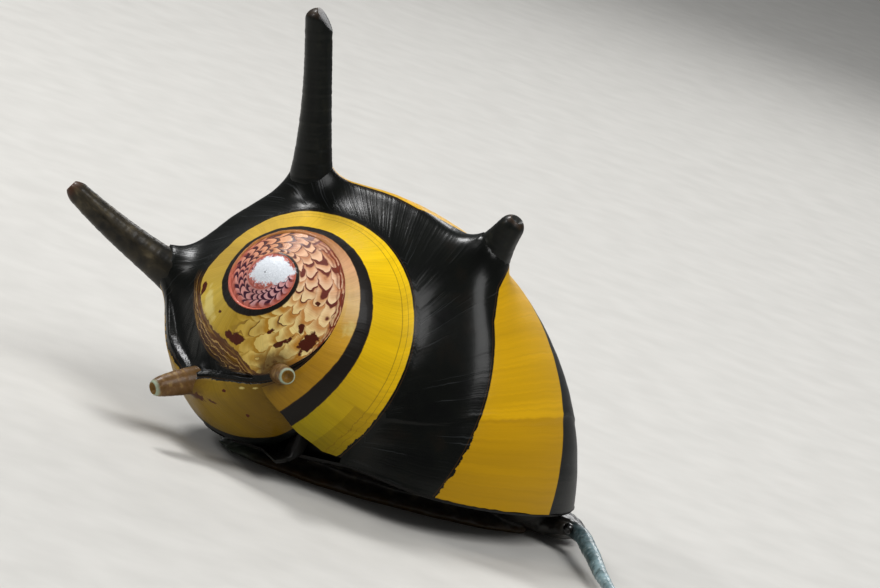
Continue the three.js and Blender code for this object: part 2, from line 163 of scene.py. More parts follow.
def turned(swing, lean, spin):
    """The turn of the shell's own axes into the snail's."""
    turn = Matrix.Rotation(math.radians(swing), 3, "Z") @ Matrix.Rotation(math.radians(lean), 3, "Y")
    return np.array(turn @ Matrix.Rotation(math.radians(spin), 3, "Z"))


SHELL_AXES = turned(SWING, LEAN, SPIN)


def lines_at(turn):
    """Radius and depth of each line, with the two points that carry the outline over the axis."""
    turn = np.asarray(turn, float)[:, None, None]
    late, early = np.maximum(turn, -1), np.minimum(turn + 1, 0)
    rate = np.log(LINES_AT_LIP / LINES_TURN_BEFORE)[None]
    swelling = rate * late + LATE_GROWTH * (late * late + late) + EARLY_GROWTH * early
    sizes = LINES_AT_LIP[None] * np.exp(swelling)
    foot = sizes[:, -1:]
    over = np.concatenate([foot * [0, 1.03], foot * [-1, 1]], axis=1)
    return np.concatenate([sizes, over], axis=1)


def outline(turn, place):
    """Radius and depth at matching turns and places, by a centripetal curve through the lines."""
    turn, place = np.broadcast_arrays(np.asarray(turn, float), np.asarray(place, float))
    shape, turn, place = turn.shape, turn.ravel(), place.ravel()
    knots = lines_at(turn)
    along = np.clip(place, 0, 1) * SPANS
    span = np.minimum(along.astype(int), SPANS - 1)
    part = (along - span)[:, None]
    rows = np.arange(len(turn))
    one, two, three = knots[rows, span], knots[rows, span + 1], knots[rows, span + 2]
    zero = np.where(span[:, None] > 0, knots[rows, np.maximum(span - 1, 0)], 2 * one - two)
    pairs = ((zero, one), (one, two), (two, three))
    gaps = [np.sqrt(np.linalg.norm(b - a, axis=1))[:, None] for a, b in pairs]
    before, here, after = [np.maximum(gap, 1e-6) for gap in gaps]
    leave = ((one - zero) / before - (two - zero) / (before + here) + (two - one) / here) * here
    reach = ((two - one) / here - (three - one) / (here + after) + (three - two) / after) * here
    flat = (one + leave * part + (-3 * one + 3 * two - 2 * leave - reach) * part ** 2
            + (2 * one - 2 * two + leave + reach) * part ** 3)
    return flat.reshape(shape + (2,))


def on_shell(turn, flat):
    """Points in the snail's frame, in millimetres, for a turn and a radius and depth."""
    angle = np.asarray(turn)[..., None] * 2 * math.pi
    radius, depth = flat[..., :1], flat[..., 1:]
    local = np.concatenate([radius * np.cos(angle), -radius * np.sin(angle), -depth], axis=-1)
    return local @ SHELL_AXES.T + APEX


def whorl(turn, place):
    return on_shell(turn, outline(turn, place))


def rim_drop(x):
    """How far the rim has run down from its height in front."""
    return REAR_SLOPE * np.maximum(REAR_FROM - x, 0)


def over_rim(turns, places):
    points = whorl(turns[:, None], places[None, :])
    return points[..., 2] + rim_drop(points[..., 0]) > RIM_HEIGHT


def level_turn(places):
    """The last turn at which each place across the whorl still stands above the rim."""
    turns = np.linspace(-0.75, -0.03, 721)
    high = over_rim(turns, places)
    return turns[len(turns) - 1 - np.argmax(high[::-1], axis=0)]


def rim_turn(places):
    near = np.interp(places, RIM_PLACES, RIM_TURNS)
    return np.where(places < RIM_PLACES[-1], near, level_turn(places))


def covered_from(turns):
    """The place across each whorl that the next whorl's suture lies on."""
    places = np.linspace(0, 0.7, 141)
    suture = outline(turns + 1, 0 * turns)[:, None]
    apart = np.linalg.norm(outline(turns[:, None], places[None, :]) - suture, axis=2)
    return places[np.argmin(apart, axis=1)]


def smooth(low, high, value):
    part = np.clip((value - low) / (high - low), 0, 1)
    return part * part * (3 - 2 * part)


def at_turn(turn, stops):
    """The value that a list of (turn, value) stops gives at each turn."""
    turns, values = zip(*stops)
    return np.interp(turn, turns, values)


def hump(value, centre, half):
    return np.exp(-((value - centre) / half) ** 2)


def ripple(growth, place, pitch, seed):
    """Uneven growth lines along the whorl, from -1 to 1."""
    rng = np.random.default_rng(seed)
    total = 0 * growth
    for k in range(6):
        wave = pitch * (0.55 + 0.3 * k)
        bend = 0.7 * np.sin(place * 9 + k)
        total = total + np.sin(growth / wave * 2 * math.pi + rng.uniform(0, 6.28) + bend)
    return total / 6


# Working on meshes


def mesh_object(name, points, faces):
    mesh = bpy.data.meshes.new(name)
    mesh.from_pydata((np.asarray(points) * MM).tolist(), [], faces)
    mesh.validate()
    mesh.update()
    thing = bpy.data.objects.new(name, mesh)
    bpy.context.scene.collection.objects.link(thing)
    mesh.shade_smooth()
    return thing


def only(thing):
    bpy.ops.object.select_all(action="DESELECT")
    thing.select_set(True)
    bpy.context.view_layer.objects.active = thing


def points_of(thing):
    """The vertices of a piece in millimetres."""
    flat = np.empty(len(thing.data.vertices) * 3)
    thing.data.vertices.foreach_get("co", flat)
    return flat.reshape(-1, 3) / MM


def set_points(thing, points):
    thing.data.vertices.foreach_set("co", (points * MM).ravel())
    thing.data.update()


def keep_vectors(thing, name, columns):
    """Keeps up to three values for each vertex, which a material reads as one vector."""
    columns = [np.asarray(c, float).ravel() for c in columns]
    while len(columns) < 3:
        columns.append(0 * columns[0])
    layer = thing.data.attributes.new(name, "FLOAT_VECTOR", "POINT")
    layer.data.foreach_set("vector", np.stack(columns, 1).ravel())


def apply_all(thing):
    only(thing)
    for modifier in list(thing.modifiers):
        bpy.ops.object.modifier_apply(modifier=modifier.name)


# Shell


def across_length(points):
    """Millimetres from the suture to each point of the grid, along its own row."""
    step = np.linalg.norm(np.diff(points, axis=1), axis=2)
    return np.concatenate([np.zeros((len(points), 1)), np.cumsum(step, axis=1)], axis=1)


def length_at(lengths, places, wanted):
    """The length across at the wanted place, on each point's own row."""
    at = np.interp(wanted, places, np.arange(len(places)))
    low = np.minimum(at.astype(int), len(places) - 2)
    rows = np.arange(len(lengths))[:, None]
    part = at - low
    return lengths[rows, low] * (1 - part) + lengths[rows, low + 1] * part


def shell_grid():
    """Growth, from 0 at the lip back, and place across, denser at the lip and on the near side."""
    growth = np.concatenate([np.linspace(FIRST_TURN, -2.2, 120)[:-1], np.linspace(-2.2, -1.2, 130)[:-1],
                             np.linspace(-1.2, -0.1, 330)[:-1], np.linspace(-0.1, 0, 60)])
    place = np.concatenate([np.linspace(0, 0.5, 92)[:-1], np.linspace(0.5, 1, 40)])
    turn = growth[:, None] + rim_turn(place)[None, :]
    return growth, place, turn


def outward(points, turn, place):
    normal = np.cross(np.gradient(points, axis=1), np.gradient(points, axis=0))
    normal /= np.maximum(np.linalg.norm(normal, axis=2, keepdims=True), 1e-9)
    axis = on_shell(turn, outline(turn, place) * [0, 1] + [0, 0.5])
    return -normal if ((points - axis) * normal).sum() < 0 else normal


def horn_ways():
    """Root and direction of each horn, with the radius and swell of its foot."""
    ways = []
    for _, turn, place, tip, radii, _, swell in HORNS:
        root = whorl(np.array(turn), np.array(place))
        way = np.array(tip) + APEX - root
        ways.append((root, way / np.linalg.norm(way), radii[0], swell))
    return ways


def worn_apex(points, hidden):
    """The oldest whorls, worn down to one low dome round the tip of the spire. What the next whorl
    hides lies a little under it."""
    local = (points - APEX) @ SHELL_AXES
    radius = np.linalg.norm(local[..., :2], axis=-1)
    dome = DOME_TOP - DOME_FALL * radius ** 2 - 0.06 * hidden
    share = smooth(DOME_RADIUS * 1.25, DOME_RADIUS * 0.85, radius)
    local[..., 2] += (dome - local[..., 2]) * share
    return local @ SHELL_AXES.T + APEX


def shell_relief(turn, growth, across, dark, covered):
    """Millimetres that the surface stands out from the plain whorl, before the horns."""
    # Fine and broad growth lines
    late = smooth(-1.25, -0.7, turn)
    relief = 0.010 * ripple(growth, across, 0.026, 3) * late
    relief += 0.022 * ripple(growth, across, 0.12, 5) * late

    # A low ridge and a step down where growth paused
    halt = growth - ARREST - 0.003 * np.sin(across * 40)
    relief += (0.015 * hump(halt, 0, 0.0018) - 0.02 * smooth(0, 0.004, halt)) * smooth(0.25, 0.32, across)

    # A raised edge along the suture, and a keel from horn to horn
    relief += 0.035 * hump(across, 0.02, 0.03) * late
    keel = hump(across, 0.405, 0.035) * smooth(-1.0, -0.9, turn) * smooth(-0.2, -0.36, turn)
    relief += 0.16 * keel

    # The worn zone on the left, in two shallow steps down into the dark band
    worn = smooth(-0.7, -0.8, turn) * smooth(-1.12, -1.03, turn)
    relief -= (0.05 * smooth(-0.02, 0.05, dark) + 0.2 * smooth(0.33, 0.45, dark)) * worn

    # What the next whorl hides lies lower
    sink = smooth(-1.0, -1.06, turn) * smooth(covered, covered + 0.05, across)
    return relief * smooth(0, 0.02, across) * smooth(1, 0.9, across) - 0.32 * sink


def band_edges(turn, lengths, place):
    """Millimetres inside the edges of the thin band, the dark band and the base."""
    thin_at, dark_from, dark_to, base_from = [
        length_at(lengths, place, at_turn(turn, stops))
        for stops in (THIN_CENTRE, DARK_STARTS, DARK_ENDS, BASE_STARTS)]
    thin = at_turn(turn, THIN_HALF) - np.abs(lengths - thin_at)
    return thin, np.minimum(lengths - dark_from, dark_to - lengths), lengths - base_from


def swollen(points, turn):
    """The surface raised round the foot of each horn."""
    for root, way, radius, swell in horn_ways():
        off = points - root
        side = np.linalg.norm(off - (off @ way)[..., None] * way, axis=2)
        near = (np.linalg.norm(off, axis=2) < 3) * smooth(-1.3, -1.02, turn)
        lift = swell * radius * np.exp(-np.maximum(side / radius - 0.9, 0) / 0.6) * near
        points = points + way * lift[..., None]
    return points


def drop_rim(thing, sign):
    """Moves a piece so that the rim that runs down becomes level, and back."""
    points = points_of(thing)
    points[:, 2] += sign * rim_drop(points[:, 0])
    set_points(thing, points)


def cut_rim(shell):
    """Cuts the sheet off below the rim, which is level while it is cut."""
    drop_rim(shell, 1)
    only(shell)
    bpy.ops.object.mode_set(mode="EDIT")
    bpy.ops.mesh.select_all(action="SELECT")
    bpy.ops.mesh.bisect(plane_co=(0, 0, RIM_HEIGHT * MM), plane_no=(0, 0, 1), clear_inner=True)
    bpy.ops.mesh.select_all(action="SELECT")
    bpy.ops.mesh.delete_loose()
    bpy.ops.object.mode_set(mode="OBJECT")
    drop_rim(shell, -1)


def make_shell():
    """One sheet along the whorl, cut off at the rim, with what its finish needs kept on it."""
    growth, place, turn = shell_grid()
    across = np.broadcast_to(place, turn.shape)
    spread = growth[:, None] + 0 * across
    points = whorl(turn, across)
    lengths = across_length(points)
    thin, dark, base = band_edges(turn, lengths, place)
    table = np.linspace(FIRST_TURN - 0.8, -0.95, 700)
    covered = np.interp(turn, table, covered_from(table), right=0.36)
    to_suture = length_at(lengths, place, covered) - lengths
    spots = sum(power * hump(turn, at, far) * hump(across, where, wide)
                for at, where, far, wide, power in SPOTS)
    relief = shell_relief(turn, spread, across, dark, covered)
    points = points + outward(points, turn, across) * relief[..., None]
    points = swollen(points, turn)
    points = worn_apex(points, smooth(covered - 0.01, covered + 0.05, across))
    low_roots = [way[0] for way in horn_ways()[:len(LOW_HORNS)]]
    rooted = sum(np.exp(-(np.linalg.norm(points - root, axis=2) / 0.62) ** 2) for root in low_roots)

    # A first column tucked in under the suture, so that no gap shows beside it
    first = outline(turn[:, 0], 0 * turn[:, 0])
    tuck = on_shell(turn[:, 0], first * [0.8, 1.35] + first[:, :1] * [0, 0.1])
    points = np.concatenate([tuck[:, None], points], axis=1)
    grids = (turn, across, spread, thin, dark, base, to_suture, spots, covered, rooted)
    grids = [np.concatenate([grid[:, :1], grid], axis=1) for grid in grids]
    turn, across, spread, thin, dark, base, to_suture, spots, covered, rooted = grids

    # What the next whorl hides is left out
    limit = np.where(turn < -1.12, covered + 0.07, np.where(turn < -1.0, 0.58, 2.0))
    columns = turn.shape[1]
    faces = []
    for i in range(len(turn) - 1):
        for j in np.flatnonzero(across[i, :-1] <= limit[i, :-1]):
            a = i * columns + int(j)
            faces.append((a, a + columns, a + columns + 1, a + 1))
    shell = mesh_object("shell_coat", points.reshape(-1, 3), faces)
    ragged = 0.012 + 0.1 * smooth(-0.075, -0.05, spread)
    ragged = ragged + 0.09 * smooth(-0.7, -0.8, turn) * smooth(-1.1, -1.0, turn)
    keep_vectors(shell, "whorl", (turn, across, spread))
    keep_vectors(shell, "bands", (thin, dark, base))
    keep_vectors(shell, "marks", (to_suture, ragged, spots))
    keep_vectors(shell, "rooted", (rooted,))
    keep_vectors(shell, "spire", ((points - APEX) @ SHELL_AXES).reshape(-1, 3).T)
    cut_rim(shell)
    return shell


def rear_edge(places):
    """Turns at which the older half of the last whorl goes down through the rim and comes up."""
    turns = np.linspace(-1.03, -0.6, 861)
    low = ~over_rim(turns, places)
    down = turns[np.argmax(low, axis=0)]
    up = turns[len(turns) - 1 - np.argmax(low[::-1], axis=0)]
    return down, up


def mouth_edge():
    """The outline that the whorl has at the rim's height, as 240 even points."""
    front = np.linspace(RIM_PLACES[-1], 1, 90)
    ahead = whorl(level_turn(front), front)
    back = np.linspace(0.94, 0.5, 60)
    behind = whorl(rear_edge(back)[1], back)
    older = back[::-1][:14]
    tail = whorl(rear_edge(older)[0], older)
    edge = np.concatenate([ahead, behind, tail])
    closed = np.concatenate([edge, edge[:1]])
    run = np.concatenate([[0], np.cumsum(np.linalg.norm(np.diff(closed, axis=0), axis=1))])
    at = np.linspace(0, run[-1], 241)[:-1]
    return np.stack([np.interp(at, run, closed[:, k]) for k in range(3)], 1)


def make_mouth():
    """Rim, deck and throat: rings drawn in from the outline of the mouth, closed by a point."""
    edge = mouth_edge()
    out = np.array([math.sin(DECK_TURN), -math.cos(DECK_TURN)])
    line = MOUTH - DECK_BACK * out
    drop = rim_drop(edge[:, 0])
    rings = []
    for size, height, hold, deck in MOUTH_RINGS:
        ring = edge.copy()
        ring[:, :2] = MOUTH + (ring[:, :2] - MOUTH) * size
        if deck:
            short = (ring[:, :2] - line) @ out
            ring[:, :2] += np.maximum(-short, 0)[:, None] * out
        ring[:, 2] = RIM_HEIGHT + height - drop * hold
        rings.append(ring)
    points = np.concatenate(rings + [[[*(MOUTH + THROAT_BACK * out), RIM_HEIGHT + THROAT_HEIGHT]]])
    count = len(edge)
    faces = []
    for i in range(len(rings) - 1):
        for j in range(count):
            k = (j + 1) % count
            faces.append((i * count + j, i * count + k, (i + 1) * count + k, (i + 1) * count + j))
    last = (len(rings) - 1) * count
    faces += [(last + j, last + (j + 1) % count, len(points) - 1) for j in range(count)]
    mouth = mesh_object("shell_mouth", points, faces)
    depth = np.append(np.repeat(np.arange(len(rings)), count), len(rings))
    keep_vectors(mouth, "inward", (depth / len(rings),))
    return mouth


# Horns


def smooth_through(knots, values, at):
    """A natural-looking cubic through the values, with slopes from the neighbours."""
    slope = np.gradient(values, knots)
    i = np.clip(np.searchsorted(knots, at, side="right") - 1, 0, len(knots) - 2)
    width = knots[i + 1] - knots[i]
    t = (at - knots[i]) / width
    return ((2 * t ** 3 - 3 * t ** 2 + 1) * values[i] + (t ** 3 - 2 * t ** 2 + t) * width * slope[i]
            + (-2 * t ** 3 + 3 * t ** 2) * values[i + 1] + (t ** 3 - t ** 2) * width * slope[i + 1])


def soft_route(route, radii, steps):
    """Evenly spaced points and radii on a smooth path, with the length run at each."""
    route = np.array(route, float)
    knots = np.concatenate([[0], np.cumsum(np.linalg.norm(np.diff(route, axis=0), axis=1))])
    at = np.linspace(0, knots[-1], steps)
    points = np.stack([smooth_through(knots, route[:, k], at) for k in range(3)], 1)
    return points, np.interp(at, knots, np.array(radii, float)), at


def path_tube(name, route, radii, sides=24, steps=40):
    """A tube along a smooth path, modelled as a poly curve with a round bevel, then made a mesh."""
    points, widths, _ = soft_route(route, radii, steps)
    bpy.ops.curve.primitive_nurbs_path_add(location=(0, 0, 0))
    curve = bpy.context.object
    spline = curve.data.splines[0]
    spline.type = "POLY"
    spline.points.add(steps - len(spline.points))
    for knot, (x, y, z), radius in zip(spline.points, points, widths):
        knot.co = (x * MM, y * MM, z * MM, 1)
        knot.radius = radius
    curve.data.bevel_depth = MM
    curve.data.bevel_resolution = sides // 2 - 2
    curve.data.use_fill_caps = True
    only(curve)
    bpy.ops.object.convert(target="MESH")
    thing = bpy.context.object
    thing.name = thing.data.name = name
    thing.data.transform(thing.matrix_world)
    thing.matrix_world = Matrix.Identity(4)
    return thing


def inset_faces(thing, chosen, steps):
    """Insets the chosen faces step by step, each by a width and a rise in millimetres."""
    bpy.context.tool_settings.mesh_select_mode = (False, False, True)
    for part in (thing.data.polygons, thing.data.edges, thing.data.vertices):
        part.foreach_set("select", [False] * len(part))
    for face in chosen:
        face.select = True
    only(thing)
    bpy.ops.object.mode_set(mode="EDIT")
    for width, rise in steps:
        bpy.ops.mesh.inset(thickness=width * MM, depth=rise * MM, use_even_offset=False)
    bpy.ops.object.mode_set(mode="OBJECT")
    bpy.context.tool_settings.mesh_select_mode = (True, False, False)


def hollow_tip(horn, end, way, radius):
    """Insets the faces that close the tip into a rounded rim round a shallow hollow."""
    closing = []
    for face in horn.data.polygons:
        near = (face.center / MM - Vector(end)).length < 2 * radius
        if near and face.normal.dot(Vector(way)) > 0.93:
            closing.append(face)
    steps = ((0.1, 0.08), (0.1, 0.02), (0.12, -0.12), (0.18, -0.3), (0.22, -0.2))
    inset_faces(horn, closing, [(radius * share, radius * rise) for share, rise in steps])


def chip_tip(points, end, way, radius):
    """Presses the rounded tip flat on one side, as a chip leaves it."""
    slant = way + np.array([0.95, -0.5, 0])
    slant /= np.linalg.norm(slant)
    over = (points - end) @ slant + 0.05 * radius
    return points - slant * np.maximum(over, 0)[:, None] * 0.9


def horn_path(name, turn, place, tip, bow):
    """Root, end and direction of a horn, its route from inside the shell, and the length run from
    the root at each point of it."""
    root = whorl(np.array(turn), np.array(place))
    end = np.array(tip) + APEX
    length = np.linalg.norm(end - root)
    way = (end - root) / length
    middle = (root + end) / 2 + [0, 0, bow * length]
    core = whorl(np.full(9, turn), np.linspace(0, 1, 9)).mean(axis=0)
    sunk = LOW_ROOT_DEPTH if name in LOW_HORNS else 0.0
    inner = root - way * (ROOT_DEPTH - 0.5 * sunk) + (core - root) / np.linalg.norm(core - root) * sunk
    share = np.concatenate([np.linspace(0, 0.9, 25)[:-1], np.linspace(0.9, 1, 25)])[:, None]
    route = inner * (1 - share) ** 2 + 2 * middle * share * (1 - share) + end * share ** 2
    run = np.maximum(share[:, 0] * (length + ROOT_DEPTH) - ROOT_DEPTH, -0.2)
    return root, end, way, route, run


def horn_relief(name, points, way, root, end, line):
    """Pushes out knots and ribs, but not at the root and the tip. Gives the way out at each point
    as well, and its distance from the middle line."""
    along = (points - root) @ way
    side = points - line
    reach = np.linalg.norm(side, axis=1, keepdims=True)
    out = side / np.maximum(reach, 1e-6)
    knots = 0.012 * ripple(along / 6, points[:, 0] * 0, 0.05, len(name) + int(name[-1]))
    ribs = 0.008 * np.sin(out[:, 0] * 9 + out[:, 2] * 7 + along)
    bare = 0.6 if name == CHIPPED_HORN else 0.1
    inside = smooth(bare, bare + 0.3, (end - points) @ way) * smooth(0, 0.5, along)
    return points + out * ((knots + ribs) * inside)[:, None], out, reach[:, 0]


def make_horn(name, turn, place, tip, radii, bow, swell):
    """A bent, tapered tube that grows out of the shell, with a hollow or chipped tip."""
    root, end, way, route, run = horn_path(name, turn, place, tip, bow)
    length = np.linalg.norm(end - root)
    widths = smooth_through(np.array([0, 0.45, 1]), np.array(radii), np.clip(run / length, 0, 1))

    # The foot swells, and the end rounds in to the width that it is shut to
    widths = widths + radii[0] * 0.2 * swell * np.exp(-((run + 0.2) / 0.7) ** 1.2)
    left = np.maximum(length - run, 0) / radii[2]
    shut = END_WIDTHS.get(name, OTHER_END_WIDTH)
    widths = widths * np.sqrt(1 - (1 - shut ** 2) * np.maximum(1 - left / 1.1, 0) ** 2)
    horn = path_tube(name + "_coat", route, widths, sides=36, steps=int(length / 0.04) + 12)
    closed = name == CHIPPED_HORN
    if not closed:
        hollow_tip(horn, end, way, radii[2] * shut)
    points = points_of(horn)
    if closed:
        points = chip_tip(points, end, way, radii[2])

    # The point of the middle line beside each vertex
    along = (points - root) @ way
    line = np.stack([np.interp(along, (route - root) @ way, route[:, k]) for k in range(3)], 1)
    points, out, reach = horn_relief(name, points, way, root, end, line)
    set_points(horn, points)
    keep_vectors(horn, "horn", (out[:, 0], out[:, 1] + out[:, 2], along / length))
    hollow = smooth(0.92, 0.82, reach / (radii[2] * shut)) * smooth(length - 0.4, length - 0.2, along)
    keep_vectors(horn, "hollow", (0 * hollow if closed else hollow,))
    horn.data.shade_smooth()
    only(horn)
    bpy.ops.object.shade_smooth_by_angle(angle=math.radians(50))
    return horn


# Skin, eyes and lid


def ball(place, size):
    middle = [c * MM for c in place]
    bpy.ops.mesh.primitive_uv_sphere_add(segments=32, ring_count=18, radius=1, location=middle)
    thing = bpy.context.object
    thing.scale = [s * MM for s in size]
    bpy.ops.object.transform_apply(location=True, rotation=False, scale=True)
    return thing


def foot_pad():
    """A thick disc pulled into the long rounded foot, wide at the sole and drawn in above it."""
    bpy.ops.mesh.primitive_cylinder_add(vertices=96, radius=1, depth=1, location=(0, 0, 0.5))
    pad = bpy.context.object
    bpy.ops.object.transform_apply(location=True, rotation=False, scale=False)
    bpy.ops.object.mode_set(mode="EDIT")
    for level in FOOT_LEVELS[1:-1]:
        bpy.ops.mesh.select_all(action="SELECT")
        bpy.ops.mesh.bisect(plane_co=(0, 0, level), plane_no=(0, 0, 1))
    bpy.ops.object.mode_set(mode="OBJECT")

    # The plain disc is drawn out to a squarish oval, frilled at the sole and thinner at the tail
    points = points_of(pad) * MM
    angle = np.arctan2(points[:, 1], points[:, 0])
    c, s = np.cos(angle), np.sin(angle)
    reach = (np.abs(c) ** FOOT_SQUARE + np.abs(s) ** FOOT_SQUARE) ** (-1 / FOOT_SQUARE)
    level = points[:, 2]
    size = np.interp(level, FOOT_LEVELS, FOOT_SIZES)
    frill = 1 + 0.012 * np.sin(angle * 17) * smooth(0.4, 0.1, level)
    tail = 1 - 0.25 * smooth(-0.3, -1, c)
    x = FOOT["x"] + FOOT["long"] * size * reach * c * frill
    y = FOOT["y"] + FOOT["wide"] * size * reach * s * tail * frill
    height = 1 - 0.45 * smooth(-0.75, -1, c * size)
    set_points(pad, np.stack([x, y, level * FOOT["thick"] * height], 1))
    return pad


def stalk(side):
    root = np.array([EYE_X, MIDLINE + side * EYE_OUT, EYE_Z])
    lean = np.array([0.25, side * 0.9, 0.3])
    return root, lean / np.linalg.norm(lean)


def near_route(points, route, radii):
    """Distance to a path less its radius, and the share of its length run, for every point."""
    knots, widths, run = soft_route(route, radii, 90)
    gap, share = np.full(len(points), 9.0), np.zeros(len(points))
    for knot, width, at in zip(knots, widths, run / run[-1]):
        away = np.linalg.norm(points - knot, axis=1) - width
        closer = away < gap
        gap[closer], share[closer] = away[closer], at
    return gap, share


def flesh_forms():
    """Foot, body, snout, neck, feelers and eye stalks as plain forms that overlap."""
    forms = [foot_pad(), ball((2.58, 1.1, 1.3), (4.9, 2.7, 0.95))]
    forms.append(ball((8.58, MIDLINE, 0.56), (1.62, 1.78, 0.46)))
    forms.append(ball((7.13, 0.9, 0.8), (1.9, 1.6, 0.6)))
    for route in (FEELER_RIGHT, FEELER_LEFT):
        forms.append(path_tube("feeler_form", route, FEELER_RADII, steps=60))
    for side in (-1, 1):
        root, lean = stalk(side)
        route = [root - lean * 0.5, root, root + lean * 0.5]
        forms.append(path_tube("stalk_form", route, STALK_RADII, steps=12))
    return forms


def grown_together(forms):
    """Joins the forms and grows one eased skin over them."""
    only(forms[0])
    for form in forms:
        form.select_set(True)
    bpy.ops.object.join()
    skin = bpy.context.object
    skin.name = skin.data.name = "skin"
    remesh = skin.modifiers.new("one skin", "REMESH")
    remesh.mode = "VOXEL"
    remesh.voxel_size = SKIN_VOXEL * MM
    ease = skin.modifiers.new("eased", "SMOOTH")
    ease.factor, ease.iterations = 0.5, 7
    apply_all(skin)
    return skin


def make_skin():
    """One skin over the foot, body, head, feelers and eye stalks, with its folds, rings and lip."""
    skin = grown_together(flesh_forms())
    points = points_of(skin)
    gaps = [near_route(points, route, FEELER_RADII) for route in (FEELER_RIGHT, FEELER_LEFT)]
    closer = gaps[0][0] < gaps[1][0]
    gap = np.where(closer, gaps[0][0], gaps[1][0])
    share = np.where(closer, gaps[0][1], gaps[1][1])
    feeler = smooth(0.12, 0.0, gap) * smooth(0.1, 0.3, share)

    # Folds over the body, fine rings round the feelers and a groove for the lip under the snout
    x, y, z = points.T
    fold = np.sin(x * 7 + 2 * np.sin(y * 3)) * np.sin(y * 9 + z * 6 + 2 * np.sin(x * 2))
    rings = np.sin(share * 120)
    lip = hump(z, 0.3 + 0.1 * (y - MIDLINE) ** 2, 0.07)
    lip = lip * smooth(9.53, 9.93, x) * smooth(0.75, 0.5, np.abs(y - MIDLINE))
    push = 0.02 * fold * (1 - feeler) * smooth(0.05, 0.2, z) + 0.008 * rings * feeler - 0.16 * lip
    normal = np.empty(len(points) * 3)
    skin.data.vertices.foreach_get("normal", normal)
    points = points + normal.reshape(-1, 3) * push[:, None]
    points[:, 2] = np.maximum(points[:, 2], 0)
    set_points(skin, points)
    keep_vectors(skin, "flesh", (feeler, share, smooth(-2.07, -3.07, x)))
    skin.data.shade_smooth()
    return skin


def make_eye(side, label):
    root, lean = stalk(side)
    eye = ball(root + lean * 0.6, (EYE_RADIUS,) * 3)
    eye.name = eye.data.name = "eyeball_" + label
    eye.data.shade_smooth()
    return eye


def make_lid():
    """A half-moon plate, cut from a disc and stepped up towards its middle."""
    low, high = [np.array(corner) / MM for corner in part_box("operculum")]
    middle = (low + high) / 2
    wide = (high - low) / 2
    bpy.ops.object.select_all(action="DESELECT")
    bpy.ops.mesh.primitive_cylinder_add(vertices=72, radius=1, depth=2, location=(0, 0, 0))
    lid = bpy.context.object
    lid.name = lid.data.name = "lid"
    lid.scale = (wide[0] * 1.5, wide[1], wide[2] * 0.7)
    bpy.ops.object.transform_apply(location=False, rotation=False, scale=True)
    lid.data.transform(Matrix.Translation((low[0] + wide[0] * 1.5, middle[1], low[2] + wide[2] * 0.75)))
    lid.data.transform(Matrix.Diagonal((MM, MM, MM, 1)))
    only(lid)
    bpy.ops.object.mode_set(mode="EDIT")
    bpy.ops.mesh.select_all(action="SELECT")
    bpy.ops.mesh.bisect(plane_co=(high[0] * MM, 0, 0), plane_no=(1, 0, 0), use_fill=True, clear_outer=True)
    bpy.ops.object.mode_set(mode="OBJECT")
    top = max(lid.data.polygons, key=lambda face: face.center.z)
    inset_faces(lid, [top], LID_STEPS)
    edge = lid.modifiers.new("rounded edge", "BEVEL")
    edge.width, edge.segments = 0.04 * MM, 3
    edge.limit_method, edge.angle_limit = "ANGLE", math.radians(40)
    apply_all(lid)
    lid.data.shade_smooth()
    bpy.ops.object.shade_smooth_by_angle(angle=math.radians(40))
    return lid


# Finishes

COLOURS = {"data_type": "RGBA"}
SHADED = {"data_type": "RGBA", "blend_type": "MULTIPLY"}
PLUS = {"operation": "ADD"}
MINUS = {"operation": "SUBTRACT"}
TIMES = {"operation": "MULTIPLY"}
TIMES_PLUS = {"operation": "MULTIPLY_ADD"}
WHOLE = {"operation": "FLOOR"}
PART = {"operation": "FRACT"}
SINE = {"operation": "SINE"}
MOST = {"operation": "MAXIMUM"}
OVER = {"operation": "GREATER_THAN"}
UNDER = {"operation": "LESS_THAN"}
NEAR = {"operation": "COMPARE"}
TO_MM = {"Scale": (1 / MM, 1 / MM, 1 / MM)}


def fill(tree, made, inputs, links):
    """Gives a node its plain input values and its links from other sockets."""
    for key, value in (inputs or {}).items():
        made.inputs[key].default_value = value
    for key, socket in (links or {}).items():
        tree.links.new(socket, made.inputs[key])


def node(tree, kind, settings=None, inputs=None, links=None):
    """Adds a shader node and returns its output, or the list of them where it has more than one."""
    made = tree.nodes.new("ShaderNode" + kind)
    for key, value in (settings or {}).items():
        setattr(made, key, value)
    fill(tree, made, inputs, links)
    shown = [socket for socket in made.outputs if socket.enabled]
    return shown[0] if len(shown) == 1 else made.outputs


def material(name):
    """A new material, its node tree and the place of each point in millimetres."""
    finish = bpy.data.materials.new(name)
    finish.use_nodes = True
    tree = finish.node_tree
    return finish, tree, node(tree, "Mapping", None, TO_MM, {"Vector": node(tree, "TexCoord")[3]})


def shade(finish, inputs, links):
    """Sets what is the same all over on the shader's own sockets, and links what varies."""
    fill(finish.node_tree, finish.node_tree.nodes["Principled BSDF"], inputs, links)
    return finish


def kept(tree, name):
    """The vector kept on the mesh under a name, followed by its three values."""
    vector = node(tree, "Attribute", {"attribute_name": name})[1]
    return [vector, *node(tree, "SeparateXYZ", None, None, {0: vector})]


def set_stops(tree, factor, stops):
    """A run of colours along a factor, from a list of (place, hex colour)."""
    ramp = tree.nodes.new("ShaderNodeValToRGB")
    tree.links.new(factor, ramp.inputs[0])
    elements = ramp.color_ramp.elements
    while len(elements) < len(stops):
        elements.new(1.0)
    for element, (at, colour) in zip(elements, stops):
        element.position = at
        element.color = srgb(colour)
    return ramp.outputs[0]


def lay_over(tree, colour, coats):
    """Lays plain colours over a varied one, from a list of (share, hex colour)."""
    for share, code in coats:
        colour = node(tree, "Mix", COLOURS, {7: srgb(code)}, {0: share, 6: colour})
    return colour


